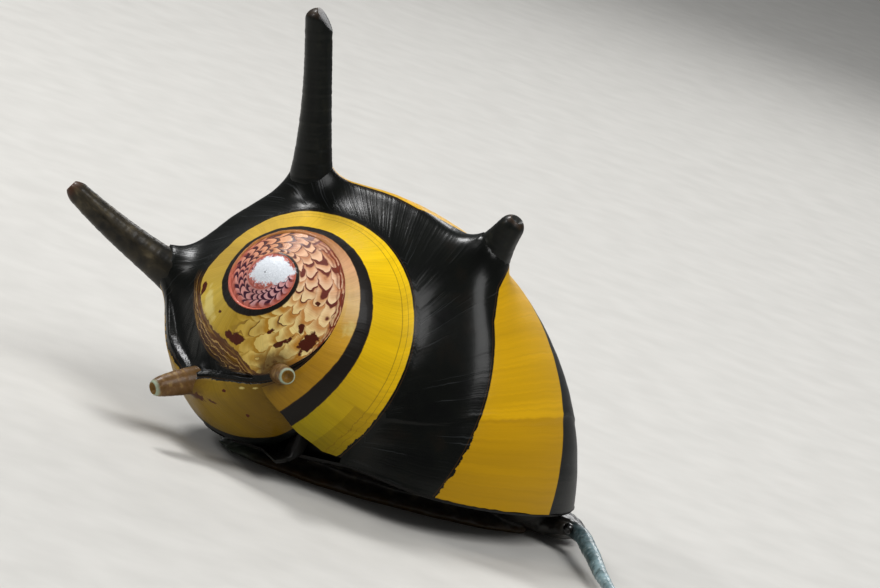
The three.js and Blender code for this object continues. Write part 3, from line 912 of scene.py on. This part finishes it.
# Colours round the shell, by turn: the strip between suture and thin band, the shoulder between
# the thin band and the dark one, and the flank below the dark one
STRIP = [(-1.75, "#b4584a"), (-1.2, "#c96a50"), (-0.95, "#d0654a"), (-0.7, "#b86050"), (-0.5, "#a85a34"),
         (-0.38, "#a87040"), (-0.3, "#d8a47a"), (-0.22, "#dfba7c"), (-0.16, "#cf9c2c"), (-0.1, "#b0821a"),
         (0.0, "#7c5e10")]
SHOULDER = [(-1.75, "#c98e84"), (-1.5, "#cf8a58"), (-1.3, "#e2ab86"), (-1.12, "#e0b87c"), (-1.0, "#cfa548"),
            (-0.9, "#b79428"), (-0.78, "#cdb048"), (-0.68, "#bf9c3c"), (-0.55, "#d2ac38"), (-0.45, "#ddb42c"),
            (-0.34, "#f4c808"), (-0.2, "#efc208"), (-0.14, "#d2a806"), (-0.06, "#a08a08"), (0.0, "#8a7a06")]
FLANK = [(-1.0, "#70540c"), (-0.93, "#8c701e"), (-0.85, "#947420"), (-0.6, "#c8980e"), (-0.35, "#dca806"),
         (-0.2, "#d8a604"), (-0.1, "#c09404"), (0.0, "#9e7e04")]
STRIP_ENDS, SHOULDER_ENDS = 0.143, 0.32
FIRST_SHOWN_TURN = -2.0

# Colours of the scales on the early whorls, by turn: their bright ends, their roots and the gaps
SCALE_PALE = [(-2.0, "#e0a8a8"), (-1.72, "#dc9484"), (-1.5, "#dc9a6c"), (-1.25, "#f6d0ae"),
              (-1.08, "#f0d88e"), (-0.92, "#dcb84a")]
SCALE_MIDDLE = [(-2.0, "#b06870"), (-1.7, "#ac5c56"), (-1.5, "#a05a34"), (-1.25, "#d49468"),
                (-1.08, "#b8802e"), (-0.92, "#a8841c")]
SCALE_DEEP = [(-2.0, "#3c1830"), (-1.7, "#431a2c"), (-1.5, "#4a1e18"), (-1.25, "#74352c"),
              (-1.1, "#4a1c12"), (-0.95, "#5a3412")]
SCALES_TO_A_TURN, SCALE_ROWS = 21.0, 33.0

# Pale lines inside the edge of the dark band and brown ones outside it, where the distance is
# below nought: millimetres inside, and half width
PALE_LINES = [(0.3, 0.022), (0.56, 0.014), (0.74, 0.01)]
BROWN_LINES = [(-0.5, 0.02), (-0.24, 0.014)]

# Millimetres between the red-brown lines beside the suture, and the breaks in them
SUTURE_LINE_PITCH = 0.13
DOTS_TO_A_TURN = 90


def colours_by_turn(tree, at, stops):
    """A run of colours along the whorl, from a list of (turn, hex colour)."""
    places = [(1 - turn / FIRST_SHOWN_TURN, colour) for turn, colour in stops]
    return set_stops(tree, at.along, places)


def shell_places(tree, mm):
    """What the mesh keeps at each point of the shell, with its growth lines, grit and ragged edges."""
    at = SimpleNamespace(mm=mm)
    at.whorl, at.turn, at.place, at.growth = kept(tree, "whorl")
    at.thin, at.dark, at.base = kept(tree, "bands")[1:]
    at.to_suture, at.ragged, at.spots = kept(tree, "marks")[1:]
    at.along = node(tree, "MapRange", None, {1: FIRST_SHOWN_TURN, 2: 0.0}, {0: at.turn})

    # Growth lines a tenth of a millimetre apart, and broader ones of about a millimetre
    fine_at = node(tree, "Mapping", None, {"Scale": (0.0, 5.0, 360.0)}, {"Vector": at.whorl})
    broad_at = node(tree, "Mapping", None, {"Scale": (0.0, 2.5, 42.0)}, {"Vector": at.whorl})
    at.fine = node(tree, "TexNoise", None, {"Scale": 1.0, "Detail": 3.0}, {"Vector": fine_at})[0]
    at.broad = node(tree, "TexNoise", None, {"Scale": 1.0, "Detail": 2.0}, {"Vector": broad_at})[0]

    # Edges that wander by the raggedness kept on the mesh
    at.grit = node(tree, "TexNoise", None, {"Scale": 4.5, "Detail": 4.0}, {"Vector": mm})[0]
    at.wander = node(tree, "Math", MINUS, {1: 0.5}, {0: at.grit})
    push = node(tree, "Math", TIMES, None, {0: at.wander, 1: at.ragged})
    at.dark_edge = node(tree, "Math", TIMES_PLUS, {1: 3.0}, {0: push, 2: at.dark})
    thin_edge = node(tree, "Math", TIMES_PLUS, {1: 0.06}, {0: at.wander, 2: at.thin})
    at.dark_mask = node(tree, "MapRange", None, {1: -0.014, 2: 0.014}, {0: at.dark_edge})
    at.thin_mask = node(tree, "MapRange", None, {1: -0.016, 2: 0.016}, {0: thin_edge})
    at.base_mask = node(tree, "MapRange", None, {1: -0.02, 2: 0.02}, {0: at.base})
    return at


def early_scales(tree, at):
    """Tongue-shaped scales in spiral rows: how far along its scale a point is, its distance from the
    middle of the row, squared, and two values of chance for each scale."""
    wobble = node(tree, "TexNoise", None, {"Scale": 1.7, "Detail": 2.0}, {"Vector": at.mm})
    wobble = node(tree, "VectorMath", TIMES_PLUS, {1: (1.6, 1.2, 0.0), 2: (-0.8, -0.6, 0.0)}, {0: wobble[1]})
    cells = node(tree, "Mapping", None, {"Scale": (SCALES_TO_A_TURN, SCALE_ROWS, 0.0)}, {"Vector": at.whorl})
    cells = node(tree, "VectorMath", PLUS, None, {0: cells, 1: wobble})
    along, over, _ = node(tree, "SeparateXYZ", None, None, {0: cells})
    row = node(tree, "Math", WHOLE, None, {0: over})
    aside = node(tree, "Math", PART, None, {0: over})
    aside = node(tree, "Math", MINUS, {1: 0.5}, {0: aside})
    bow = node(tree, "Math", TIMES, None, {0: aside, 1: aside})

    # Each row is shifted against the last, and the scales bow out in the middle of their row
    along = node(tree, "Math", TIMES_PLUS, {1: 0.39}, {0: row, 2: along})
    along = node(tree, "Math", TIMES_PLUS, {1: 1.9}, {0: bow, 2: along})
    column = node(tree, "Math", WHOLE, None, {0: along})
    ahead = node(tree, "Math", PART, None, {0: along})
    which = node(tree, "CombineXYZ", None, None, {0: column, 1: row})
    chance = node(tree, "TexWhiteNoise", {"noise_dimensions": "2D"}, None, {"Vector": which})[1]
    return ahead, bow, node(tree, "SeparateXYZ", None, None, {0: chance})


def scale_colours(tree, at):
    """Scales of rose with purple between, then of cream and yellow, ever sparser."""
    at.ahead, bow, chance = early_scales(tree, at)
    pale, middle, deep = [colours_by_turn(tree, at, stops)
                          for stops in (SCALE_PALE, SCALE_MIDDLE, SCALE_DEEP)]
    glow = node(tree, "MapRange", None, {1: 0.15, 2: 0.8}, {0: at.ahead})
    glow = node(tree, "Math", TIMES_PLUS, {1: 0.5}, {0: chance[0], 2: glow})
    glow = node(tree, "Math", MINUS, {1: 0.25}, {0: glow})
    scales = node(tree, "Mix", COLOURS, None, {0: glow, 6: middle, 7: pale})
    least = node(tree, "MapRange", None, {1: -1.5, 2: -1.05, 3: 0.36, 4: -0.5}, {0: at.turn})
    spread = node(tree, "MapRange", None, {1: -1.5, 2: -1.05, 3: 0.28, 4: 0.84}, {0: at.turn})
    gap = node(tree, "Math", TIMES_PLUS, None, {0: chance[1], 1: spread, 2: least})
    shadow = node(tree, "Math", MINUS, None, {0: gap, 1: at.ahead})
    shadow = node(tree, "MapRange", None, {1: 0.0, 2: 0.12}, {0: shadow})
    seam = node(tree, "MapRange", None, {1: 0.17, 2: 0.22, 4: 0.7}, {0: bow})
    thick = node(tree, "MapRange", None, {1: -1.1, 2: -1.5}, {0: at.turn})
    seam = node(tree, "Math", TIMES, None, {0: seam, 1: thick})
    at.shadow = node(tree, "Math", MOST, None, {0: shadow, 1: seam})
    return node(tree, "Mix", COLOURS, None, {0: at.shadow, 6: scales, 7: deep})


def ground_colours(tree, at):
    """Strip, shoulder and flank, each in its own colours, with the scales over the early whorls."""
    strip, shoulder, flank = [colours_by_turn(tree, at, stops) for stops in (STRIP, SHOULDER, FLANK)]
    past_thin = node(tree, "Math", OVER, {1: STRIP_ENDS}, {0: at.place})
    past_dark = node(tree, "Math", OVER, {1: SHOULDER_ENDS}, {0: at.place})
    colour = node(tree, "Mix", COLOURS, None, {0: past_thin, 6: strip, 7: shoulder})
    scales = scale_colours(tree, at)

    # The scales cover the early shoulder fully, and a short stretch of the strip faintly
    early = node(tree, "MapRange", None, {1: -0.88, 2: -1.0}, {0: at.turn})
    past_strip = node(tree, "MapRange", None, {1: 0.148, 2: 0.165}, {0: at.place})
    at.on_shoulder = node(tree, "Math", TIMES, None, {0: early, 1: past_strip})
    on_strip = node(tree, "MapRange", None, {1: 0.118, 2: 0.1, 4: 0.3}, {0: at.place})
    for start, end in ((-0.42, -0.5), (-0.74, -0.66)):
        inside = node(tree, "MapRange", None, {1: start, 2: end}, {0: at.turn})
        on_strip = node(tree, "Math", TIMES, None, {0: on_strip, 1: inside})
    at.scaled = node(tree, "Math", MOST, None, {0: at.on_shoulder, 1: on_strip})

    # A coral line beside the suture of the first whorls
    first = node(tree, "MapRange", None, {1: -1.52, 2: -1.62}, {0: at.turn})
    coral = node(tree, "Math", TIMES_PLUS, {1: 0.5}, {0: at.wander, 2: at.to_suture})
    coral = node(tree, "MapRange", None, {1: 0.2, 2: 0.1, 4: 0.75}, {0: coral})
    coral = node(tree, "Math", TIMES, None, {0: coral, 1: first})
    scales = lay_over(tree, scales, [(coral, "#c06450")])
    for share, cover in ((at.scaled, scales), (past_dark, flank)):
        colour = node(tree, "Mix", COLOURS, None, {0: share, 6: colour, 7: cover})
    return colour


def suture_lines(tree, at):
    """The share of a red-brown band of broken lines beside the next whorl's suture."""
    waves = node(tree, "Math", TIMES, {1: 2 * math.pi / SUTURE_LINE_PITCH}, {0: at.to_suture})
    waves = node(tree, "Math", SINE, None, {0: waves})
    dots = node(tree, "Math", TIMES, {1: 2 * math.pi * DOTS_TO_A_TURN}, {0: at.turn})
    dots = node(tree, "Math", SINE, None, {0: dots})
    broken = node(tree, "MapRange", None, {1: -1.25, 2: -1.1, 4: 0.6}, {0: at.turn})
    dots = node(tree, "Math", TIMES, None, {0: dots, 1: broken})
    waves = node(tree, "Math", PLUS, None, {0: waves, 1: dots})
    waves = node(tree, "Math", TIMES_PLUS, {1: 3.0}, {0: at.wander, 2: waves})
    lines = node(tree, "MapRange", None, {1: -0.7, 2: 0.5, 3: 0.35, 4: 1.0}, {0: waves})
    close = node(tree, "MapRange", None, {1: 0.38, 2: 0.22}, {0: at.to_suture})
    right_side = node(tree, "MapRange", None, {1: -1.45, 2: -1.35}, {0: at.turn})
    upper_side = node(tree, "Math", UNDER, {1: SHOULDER_ENDS}, {0: at.place})
    for limit in (close, right_side, at.on_shoulder, upper_side):
        lines = node(tree, "Math", TIMES, None, {0: lines, 1: limit})
    return lines


def aged(tree, at, colour):
    """The ground made duller after the pause in growth, and toned along the growth lines."""
    later = node(tree, "MapRange", None, {1: ARREST - 0.001, 2: ARREST + 0.001, 4: 0.6}, {0: at.growth})
    outer = node(tree, "Math", OVER, {1: 0.22}, {0: at.place})
    later = node(tree, "Math", TIMES, None, {0: later, 1: outer})
    colour = node(tree, "Mix", SHADED, {7: srgb("#cfc8a0")}, {0: later, 6: colour})
    fine = node(tree, "MapRange", None, {1: 0.3, 2: 0.7, 3: 0.9, 4: 1.05}, {0: at.fine})
    broad = node(tree, "MapRange", None, {1: 0.3, 2: 0.7, 3: 0.88, 4: 1.04}, {0: at.broad})
    tone = node(tree, "Math", TIMES, None, {0: fine, 1: broad})
    toned = node(tree, "CombineXYZ", None, None, {0: tone, 1: tone, 2: tone})
    return node(tree, "Mix", SHADED, {0: 1.0}, {6: colour, 7: toned})


def marked(tree, at, colour):
    """The ground with its thin brown lines, brown stains, pale spots (worn ones and two painted glints) and
    browner horn roots.
    """
    near_side = node(tree, "Math", UNDER, {1: 0.29}, {0: at.place})
    late = node(tree, "MapRange", None, {1: -0.62, 2: -0.5, 4: 0.55}, {0: at.turn})
    near_side = node(tree, "Math", TIMES, None, {0: near_side, 1: late})
    coats = []
    for away, half in BROWN_LINES:
        line = node(tree, "Math", NEAR, {1: away, 2: half}, {0: at.dark_edge})
        coats.append((node(tree, "Math", TIMES, None, {0: line, 1: near_side}), "#7a5a0a"))
    spots_and_glints = node(tree, "Math", TIMES_PLUS, {1: 1.2}, {0: at.wander, 2: at.spots})
    coats.append((node(tree, "MapRange", None, {1: 0.38, 2: 0.5}, {0: spots_and_glints}), "#4a1a0a"))
    # Pale: worn spots, and two small specks that are painted glints
    coats.append((node(tree, "MapRange", None, {1: -0.3, 2: -0.7, 4: 0.7}, {0: spots_and_glints}), "#dccb7e"))
    rooted = node(tree, "Math", TIMES_PLUS, {1: 0.5}, {0: at.wander, 2: kept(tree, "rooted")[1]})
    coats.append((node(tree, "MapRange", None, {1: 0.12, 2: 0.62, 4: 0.9}, {0: rooted}), "#553c18"))
    return lay_over(tree, colour, coats)


def dark_coat(tree, at):
    """Brown-black coat with grey streaks along the growth lines, in patches, partly scratches and partly
    painted highlight streaks, and a brown line near its edge."""
    mottle = node(tree, "TexNoise", None, {"Scale": 1.1, "Detail": 3.0}, {"Vector": at.mm})[0]
    coat = set_stops(tree, mottle, [(0.3, "#050605"), (0.55, "#090b08"), (0.75, "#120f0a")])
    # Blue-grey streaks along the growth lines: partly scratches, partly painted highlight streaks of the wet
    # coat
    scratch_and_sheen = node(tree, "MapRange", None, {1: 0.6, 2: 0.74, 3: 0.0, 4: 0.4}, {0: at.fine})
    patch = node(tree, "TexNoise", None, {"Scale": 0.55, "Detail": 2.0}, {"Vector": at.mm})[0]
    patch = node(tree, "MapRange", None, {1: 0.45, 2: 0.65}, {0: patch})
    scratch_and_sheen = node(tree, "Math", TIMES, None, {0: scratch_and_sheen, 1: patch})
    edge = node(tree, "Math", NEAR, {1: 0.1, 2: 0.02}, {0: at.dark})
    edge = node(tree, "Math", TIMES, {1: 0.25}, {0: edge})
    return lay_over(tree, coat, [(scratch_and_sheen, "#5c6063"), (edge, "#5a3a10")])


def banded(tree, at, colour):
    """The dark, thin and base bands laid over the ground. The upper edge of the dark band is worn
    brown and ochre on the left, with three pale lines along it."""
    coat = dark_coat(tree, at)
    left = node(tree, "MapRange", None, {1: -0.7, 2: -0.78}, {0: at.turn})
    upper = node(tree, "MapRange", None, {1: 0.298, 2: 0.286}, {0: at.place})
    upper = node(tree, "Math", TIMES, None, {0: upper, 1: left})
    brown = node(tree, "MapRange", None, {1: 0.95, 2: 0.45}, {0: at.dark})
    brown = node(tree, "Math", TIMES, None, {0: brown, 1: upper})
    ochre_at = node(tree, "CombineXYZ", None, None, {0: at.turn, 1: at.dark})
    ochre_at = node(tree, "Mapping", None, {"Scale": (22.0, 11.0, 1.0)}, {"Vector": ochre_at})
    ochre = node(tree, "TexNoise", None, {"Scale": 1.0, "Detail": 4.0}, {"Vector": ochre_at})[0]
    ochre = node(tree, "MapRange", None, {1: 0.5, 2: 0.66}, {0: ochre})
    ochre = node(tree, "Math", TIMES, None, {0: ochre, 1: brown})
    coat = lay_over(tree, coat, [(brown, "#5a3618"), (ochre, "#94702a")])
    colour = node(tree, "Mix", COLOURS, None, {0: at.dark_mask, 6: colour, 7: coat})
    lines = []
    for away, half in PALE_LINES:
        line = node(tree, "Math", NEAR, {1: away, 2: half}, {0: at.dark_edge})
        lines.append((node(tree, "Math", TIMES, None, {0: line, 1: upper}), "#b08c4e"))
    colour = lay_over(tree, colour, lines)
    thin_coat = set_stops(tree, at.thin, [(0.0, "#2c1c10"), (0.06, "#15100c"), (1.0, "#100e0c")])
    for mask, cover in ((at.thin_mask, thin_coat), (at.base_mask, coat)):
        colour = node(tree, "Mix", COLOURS, None, {0: mask, 6: colour, 7: cover})
    return colour


def worn_tip_and_glare(tree, at):
    """The share of the worn tip of the spire laid pale: bare lime whose blue-white is partly painted glare,
    with an edge that breaks along the scales.
    """
    spire_at = node(tree, "Attribute", {"attribute_name": "spire"})[1]
    far = node(tree, "Mapping", None, {"Location": (0.15, -0.132, 0.0), "Scale": (1.1, 0.88, 0.0)},
               {"Vector": spire_at})
    far = node(tree, "VectorMath", {"operation": "LENGTH"}, None, {0: far})
    for share, noise in ((0.1, at.ahead), (0.55, at.wander)):
        far = node(tree, "Math", TIMES_PLUS, {1: share}, {0: noise, 2: far})
    return node(tree, "MapRange", None, {1: 0.71, 2: 0.65}, {0: far})


def shell_finish():
    """Shell lime under a thin horny coat: clear yellow and near-black bands that shine as wet."""
    finish, tree, mm = material("shell lime under a wet horny coat, grown")
    at = shell_places(tree, mm)
    colour = ground_colours(tree, at)
    colour = lay_over(tree, colour, [(suture_lines(tree, at), "#7a3018")])
    colour = aged(tree, at, colour)
    colour = marked(tree, at, colour)
    colour = banded(tree, at, colour)
    # Bare worn lime at the tip of the spire; its pale blue-white is partly painted glare
    tip = worn_tip_and_glare(tree, at)
    colour = lay_over(tree, colour, [(tip, "#dfe4ea")])

    # The dark coat and the worn tip are smoother than the yellow
    smoother = node(tree, "Math", MOST, None, {0: at.dark_mask, 1: tip})
    matt = node(tree, "MapRange", None, {3: 0.42, 4: 0.27}, {0: smoother})

    # Relief: growth lines, scale edges and grit, in hundredths of a millimetre
    height = node(tree, "Math", TIMES_PLUS, {1: 0.5}, {0: at.broad, 2: at.fine})
    height = node(tree, "Math", TIMES_PLUS, {1: 0.25}, {0: at.grit, 2: height})
    step = node(tree, "Math", TIMES, None, {0: at.shadow, 1: at.scaled})
    height = node(tree, "Math", TIMES_PLUS, {1: -0.5}, {0: step, 2: height})
    bump = node(tree, "Bump", None, {"Strength": 0.6, "Distance": 0.018 * MM}, {"Height": height})
    return shade(finish, {"Specular IOR Level": 0.15, "Coat Weight": 0.04, "Coat Roughness": 0.08},
                 {"Base Color": colour, "Roughness": matt, "Normal": bump})


def mouth_finish():
    """Shell lime laid smooth inside: pale deep in the throat, with painted shade that makes it near black at
    the rim and the deck.
    """
    finish, tree, mm = material("shell lime, laid smooth, with painted shade")
    cloud = node(tree, "TexNoise", None, {"Scale": 0.8, "Detail": 3.0}, {"Vector": mm})[0]
    inward = node(tree, "Math", TIMES_PLUS, {1: 0.1}, {0: cloud, 2: kept(tree, "inward")[1]})
    # Near black at the rim and the deck is painted shade under the body; the pale at the deep end is the
    # lime's own colour
    colour = set_stops(tree, inward, [(0.55, "#0b0a08"), (0.85, "#14110d"), (0.97, "#4a4236"),
                                      (1.0, "#8a8474")])
    bump = node(tree, "Bump", None, {"Strength": 0.3, "Distance": 0.02 * MM}, {"Height": cloud})
    return shade(finish, {"Roughness": 0.5, "Specular IOR Level": 0.2, "Coat Weight": 0.05},
                 {"Base Color": colour, "Normal": bump})


def horn_finish(name, body, tip, inner, clear_from):
    """Grown horn: bands of its own colours across it, darker at the foot, clearer at the tip, and
    the colour of the hollow inside the worn end."""
    finish, tree, mm = material(name)
    horn_at, _, _, share = kept(tree, "horn")
    bands_at = node(tree, "Mapping", None, {"Scale": (1.5, 1.5, 7.0)}, {"Vector": horn_at})
    bands = node(tree, "TexNoise", None, {"Scale": 1.0, "Detail": 5.0}, {"Vector": bands_at})[0]
    coat = set_stops(tree, bands, list(zip((0.34, 0.55, 0.66, 0.8), body)))
    grain = node(tree, "TexNoise", None, {"Scale": 5.0, "Detail": 3.0}, {"Vector": mm})[0]
    far = node(tree, "Math", TIMES_PLUS, {1: 0.08}, {0: grain, 2: share})
    clear = node(tree, "MapRange", None, {1: clear_from + 0.04, 2: 1.06}, {0: far})
    foot = node(tree, "MapRange", None, {1: 0.3, 2: 0.08}, {0: far})
    coat = lay_over(tree, coat, [(clear, tip), (foot, body[0]), (kept(tree, "hollow")[1], inner)])
    height = node(tree, "Math", TIMES_PLUS, {1: 0.4}, {0: grain, 2: bands})
    bump = node(tree, "Bump", None, {"Strength": 0.5, "Distance": 0.03 * MM}, {"Height": height})
    return shade(finish, {"Roughness": 0.42, "Specular IOR Level": 0.17, "Coat Weight": 0.08,
                          "Coat Roughness": 0.1}, {"Base Color": coat, "Normal": bump})


def skin_finish():
    """Living skin, wet: near black on the body, brown at the sole's edge, blue-grey on the feelers."""
    finish, tree, mm = material("mollusc skin, wet")
    _, feeler, _, tail = kept(tree, "flesh")
    height = node(tree, "SeparateXYZ", None, None, {0: mm})[2]
    mottle = node(tree, "TexNoise", None, {"Scale": 2.2, "Detail": 4.0}, {"Vector": mm})[0]
    body = set_stops(tree, mottle, [(0.35, "#181816"), (0.55, "#272420"), (0.72, "#3e382c")])
    low = node(tree, "Math", TIMES_PLUS, {1: 0.5}, {0: mottle, 2: height})
    sole = node(tree, "MapRange", None, {1: 0.55, 2: 0.3, 4: 0.8}, {0: low})
    rear = node(tree, "Math", TIMES, {1: 0.85}, {0: tail})
    body = lay_over(tree, body, [(sole, "#4a3414"), (rear, "#525c50")])
    freckle = node(tree, "TexVoronoi", None, {"Scale": 4.2, "Randomness": 0.9}, {"Vector": mm})[0]
    freckle = node(tree, "MapRange", None, {1: 0.3, 2: 0.16, 4: 0.5}, {0: freckle})
    veil = set_stops(tree, mottle, [(0.35, "#4a6064"), (0.6, "#7e979d")])
    veil = lay_over(tree, veil, [(freckle, "#a8bcc2")])
    body = node(tree, "Mix", COLOURS, None, {0: feeler, 6: body, 7: veil})
    pores = node(tree, "TexVoronoi", None, {"Scale": 6.0}, {"Vector": mm})[0]
    bump = node(tree, "Bump", None, {"Strength": 0.5, "Distance": 0.03 * MM}, {"Height": pores})
    return shade(finish, {"Roughness": 0.34, "Specular IOR Level": 0.3, "Coat Weight": 0.15,
                          "Coat Roughness": 0.12, "Subsurface Weight": 0.12,
                          "Subsurface Radius": (1.0, 0.7, 0.5), "Subsurface Scale": 0.25 * MM},
                 {"Base Color": body, "Normal": bump})


def eye_finish():
    """A clear lens over black pigment: black with a hard wet shine."""
    finish, tree, mm = material("eye lens over black pigment")
    cloud = node(tree, "TexNoise", None, {"Scale": 6.0}, {"Vector": mm})[0]
    colour = set_stops(tree, cloud, [(0.4, "#040404"), (0.7, "#14120f")])
    return shade(finish, {"Roughness": 0.12, "Coat Weight": 0.4}, {"Base Color": colour})


def lid_finish():
    """A limy lid under dark skin, laid in arcs: brown-black with paler growth arcs and a smooth sheen."""
    finish, tree, mm = material("limy lid under dark horny skin, laid in arcs")
    low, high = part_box("operculum")
    start = (high[0] / MM, low[1] / MM + 0.6, high[2] / MM)
    from_start = node(tree, "Mapping", None, {"Location": [-c for c in start]}, {"Vector": mm})
    arcs = node(tree, "TexWave", {"wave_type": "RINGS", "rings_direction": "SPHERICAL"},
                {"Scale": 0.9, "Distortion": 1.2, "Detail": 2.0}, {"Vector": from_start})[1]
    colour = set_stops(tree, arcs, [(0.1, "#16130f"), (0.4, "#2c2720"), (0.8, "#4a4338")])
    bump = node(tree, "Bump", None, {"Strength": 0.4, "Distance": 0.02 * MM}, {"Height": arcs})
    return shade(finish, {"Roughness": 0.3}, {"Base Color": colour, "Normal": bump})


def floor_finish():
    """Matt pale card: an even tone with a faint tooth."""
    finish, tree, mm = material("pale card, matt")
    tooth = node(tree, "TexNoise", None, {"Scale": 0.5, "Detail": 2.0}, {"Vector": mm})[0]
    colour = set_stops(tree, tooth, [(0.3, "#bfbdb8"), (0.7, "#c6c4bf")])
    return shade(finish, {"Roughness": 0.8}, {"Base Color": colour})


def dress(thing, finish):
    thing.data.materials.clear()
    thing.data.materials.append(finish)
    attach(thing, "root")


# The snail

shell = make_shell()
dress(shell, shell_finish())
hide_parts("shell")
dress(make_mouth(), mouth_finish())
dark_horn = horn_finish("horn, grown and near black",
                        ("#050705", "#0b0e0a", "#14150f", "#2a241a"), "#3a2a1c", "#3a3a38", 0.95)
brown_horn = horn_finish("horn, grown and worn brown",
                         ("#14120d", "#342e22", "#4f4736", "#6e6450"), "#4a2a18", "#5a2418", 0.93)
clear_horn = horn_finish("horn, grown and clear at the tip",
                         ("#553c18", "#64482a", "#7d6238", "#93805a"), "#9eae98", "#7a5a22", 0.93)
horn_coats = {"horn_1": clear_horn, "horn_2": clear_horn, "horn_3": brown_horn}
for spec in HORNS:
    horn = make_horn(*spec)
    dress(horn, horn_coats.get(spec[0], dark_horn))
    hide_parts(spec[0])
skin = make_skin()
dress(skin, skin_finish())
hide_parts("mantle", "foot", "head", "eyestalk_right", "eyestalk_left",
            *[f"feeler_{side}_{i}" for side in ("right", "left") for i in (1, 2, 3)])
lens = eye_finish()
for side, label in ((-1, "right"), (1, "left")):
    eye = make_eye(side, label)
    dress(eye, lens)
    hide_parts("eye_" + label)
lid = make_lid()
dress(lid, lid_finish())
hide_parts("operculum")

# Floor, light and camera

FLOOR_SIZE = 3.0
WORLD_LIGHT = 0.23
bpy.ops.object.select_all(action="DESELECT")
bpy.ops.mesh.primitive_plane_add(size=FLOOR_SIZE, location=(0, 0, 0))
floor = bpy.context.object
floor.name = "floor"
floor.data.materials.append(floor_finish())

world = bpy.context.scene.world or bpy.data.worlds.new("world")
bpy.context.scene.world = world
world.use_nodes = True
world.node_tree.nodes["Background"].inputs[0].default_value = srgb("#e9ebee")
world.node_tree.nodes["Background"].inputs[1].default_value = WORLD_LIGHT
bpy.context.scene.view_settings.view_transform = "Standard"


def lamp(name, place, aim, size, power):
    bpy.ops.object.light_add(type="AREA", location=[c * MM for c in place])
    light = bpy.context.object
    light.name = name
    light.data.size = size * MM
    light.data.energy = power
    light.rotation_euler = (Vector(aim) - Vector(place)).to_track_quat("-Z", "Y").to_euler()


lamp("overhead", (-57, 95, 158), (0, 0, 6), 42, 0.245)
lamp("left", (-155, 27, 120), (-4, 0, 6), 34, 0.08)
lamp("front", (50, -110, 165), (0, 0, 5), 110, 0.25)
lamp("back", (90, 130, 80), (0, 0, 6), 60, 0.05)

# The camera, worked out from the photo: its axes, its distance in millimetres, its focal length in
# pixels, and the pixel of the tip of the spire in a picture of this size
CAMERA_BACK = Vector((-0.3368, -0.9254, 0.1736))
CAMERA_UP = Vector((-0.2498, 0.2656, 0.9312))
CAMERA_RIGHT = Vector((0.9078, -0.2703, 0.3206))
CAMERA_AWAY = 173.9
FOCAL_PIXELS = 5200
APEX_PIXEL = (264.9, 271.5)
PICTURE = (880, 588)
SENSOR = 36
bpy.ops.object.camera_add()
camera = bpy.context.object
place = Vector(APEX) + CAMERA_BACK * CAMERA_AWAY
camera.data.sensor_width = SENSOR
camera.data.lens = FOCAL_PIXELS / PICTURE[0] * SENSOR
camera.data.clip_start, camera.data.clip_end = 0.01, 20
aim_x = (PICTURE[0] / 2 - APEX_PIXEL[0]) / FOCAL_PIXELS
aim_y = (APEX_PIXEL[1] - PICTURE[1] / 2) / FOCAL_PIXELS
toward = (-CAMERA_BACK + CAMERA_RIGHT * aim_x + CAMERA_UP * aim_y).normalized()
right = toward.cross(CAMERA_UP).normalized()
up = right.cross(toward)
camera.matrix_world = Matrix.Translation(place * MM) @ Matrix((right, up, -toward)).transposed().to_4x4()
bpy.context.scene.camera = camera
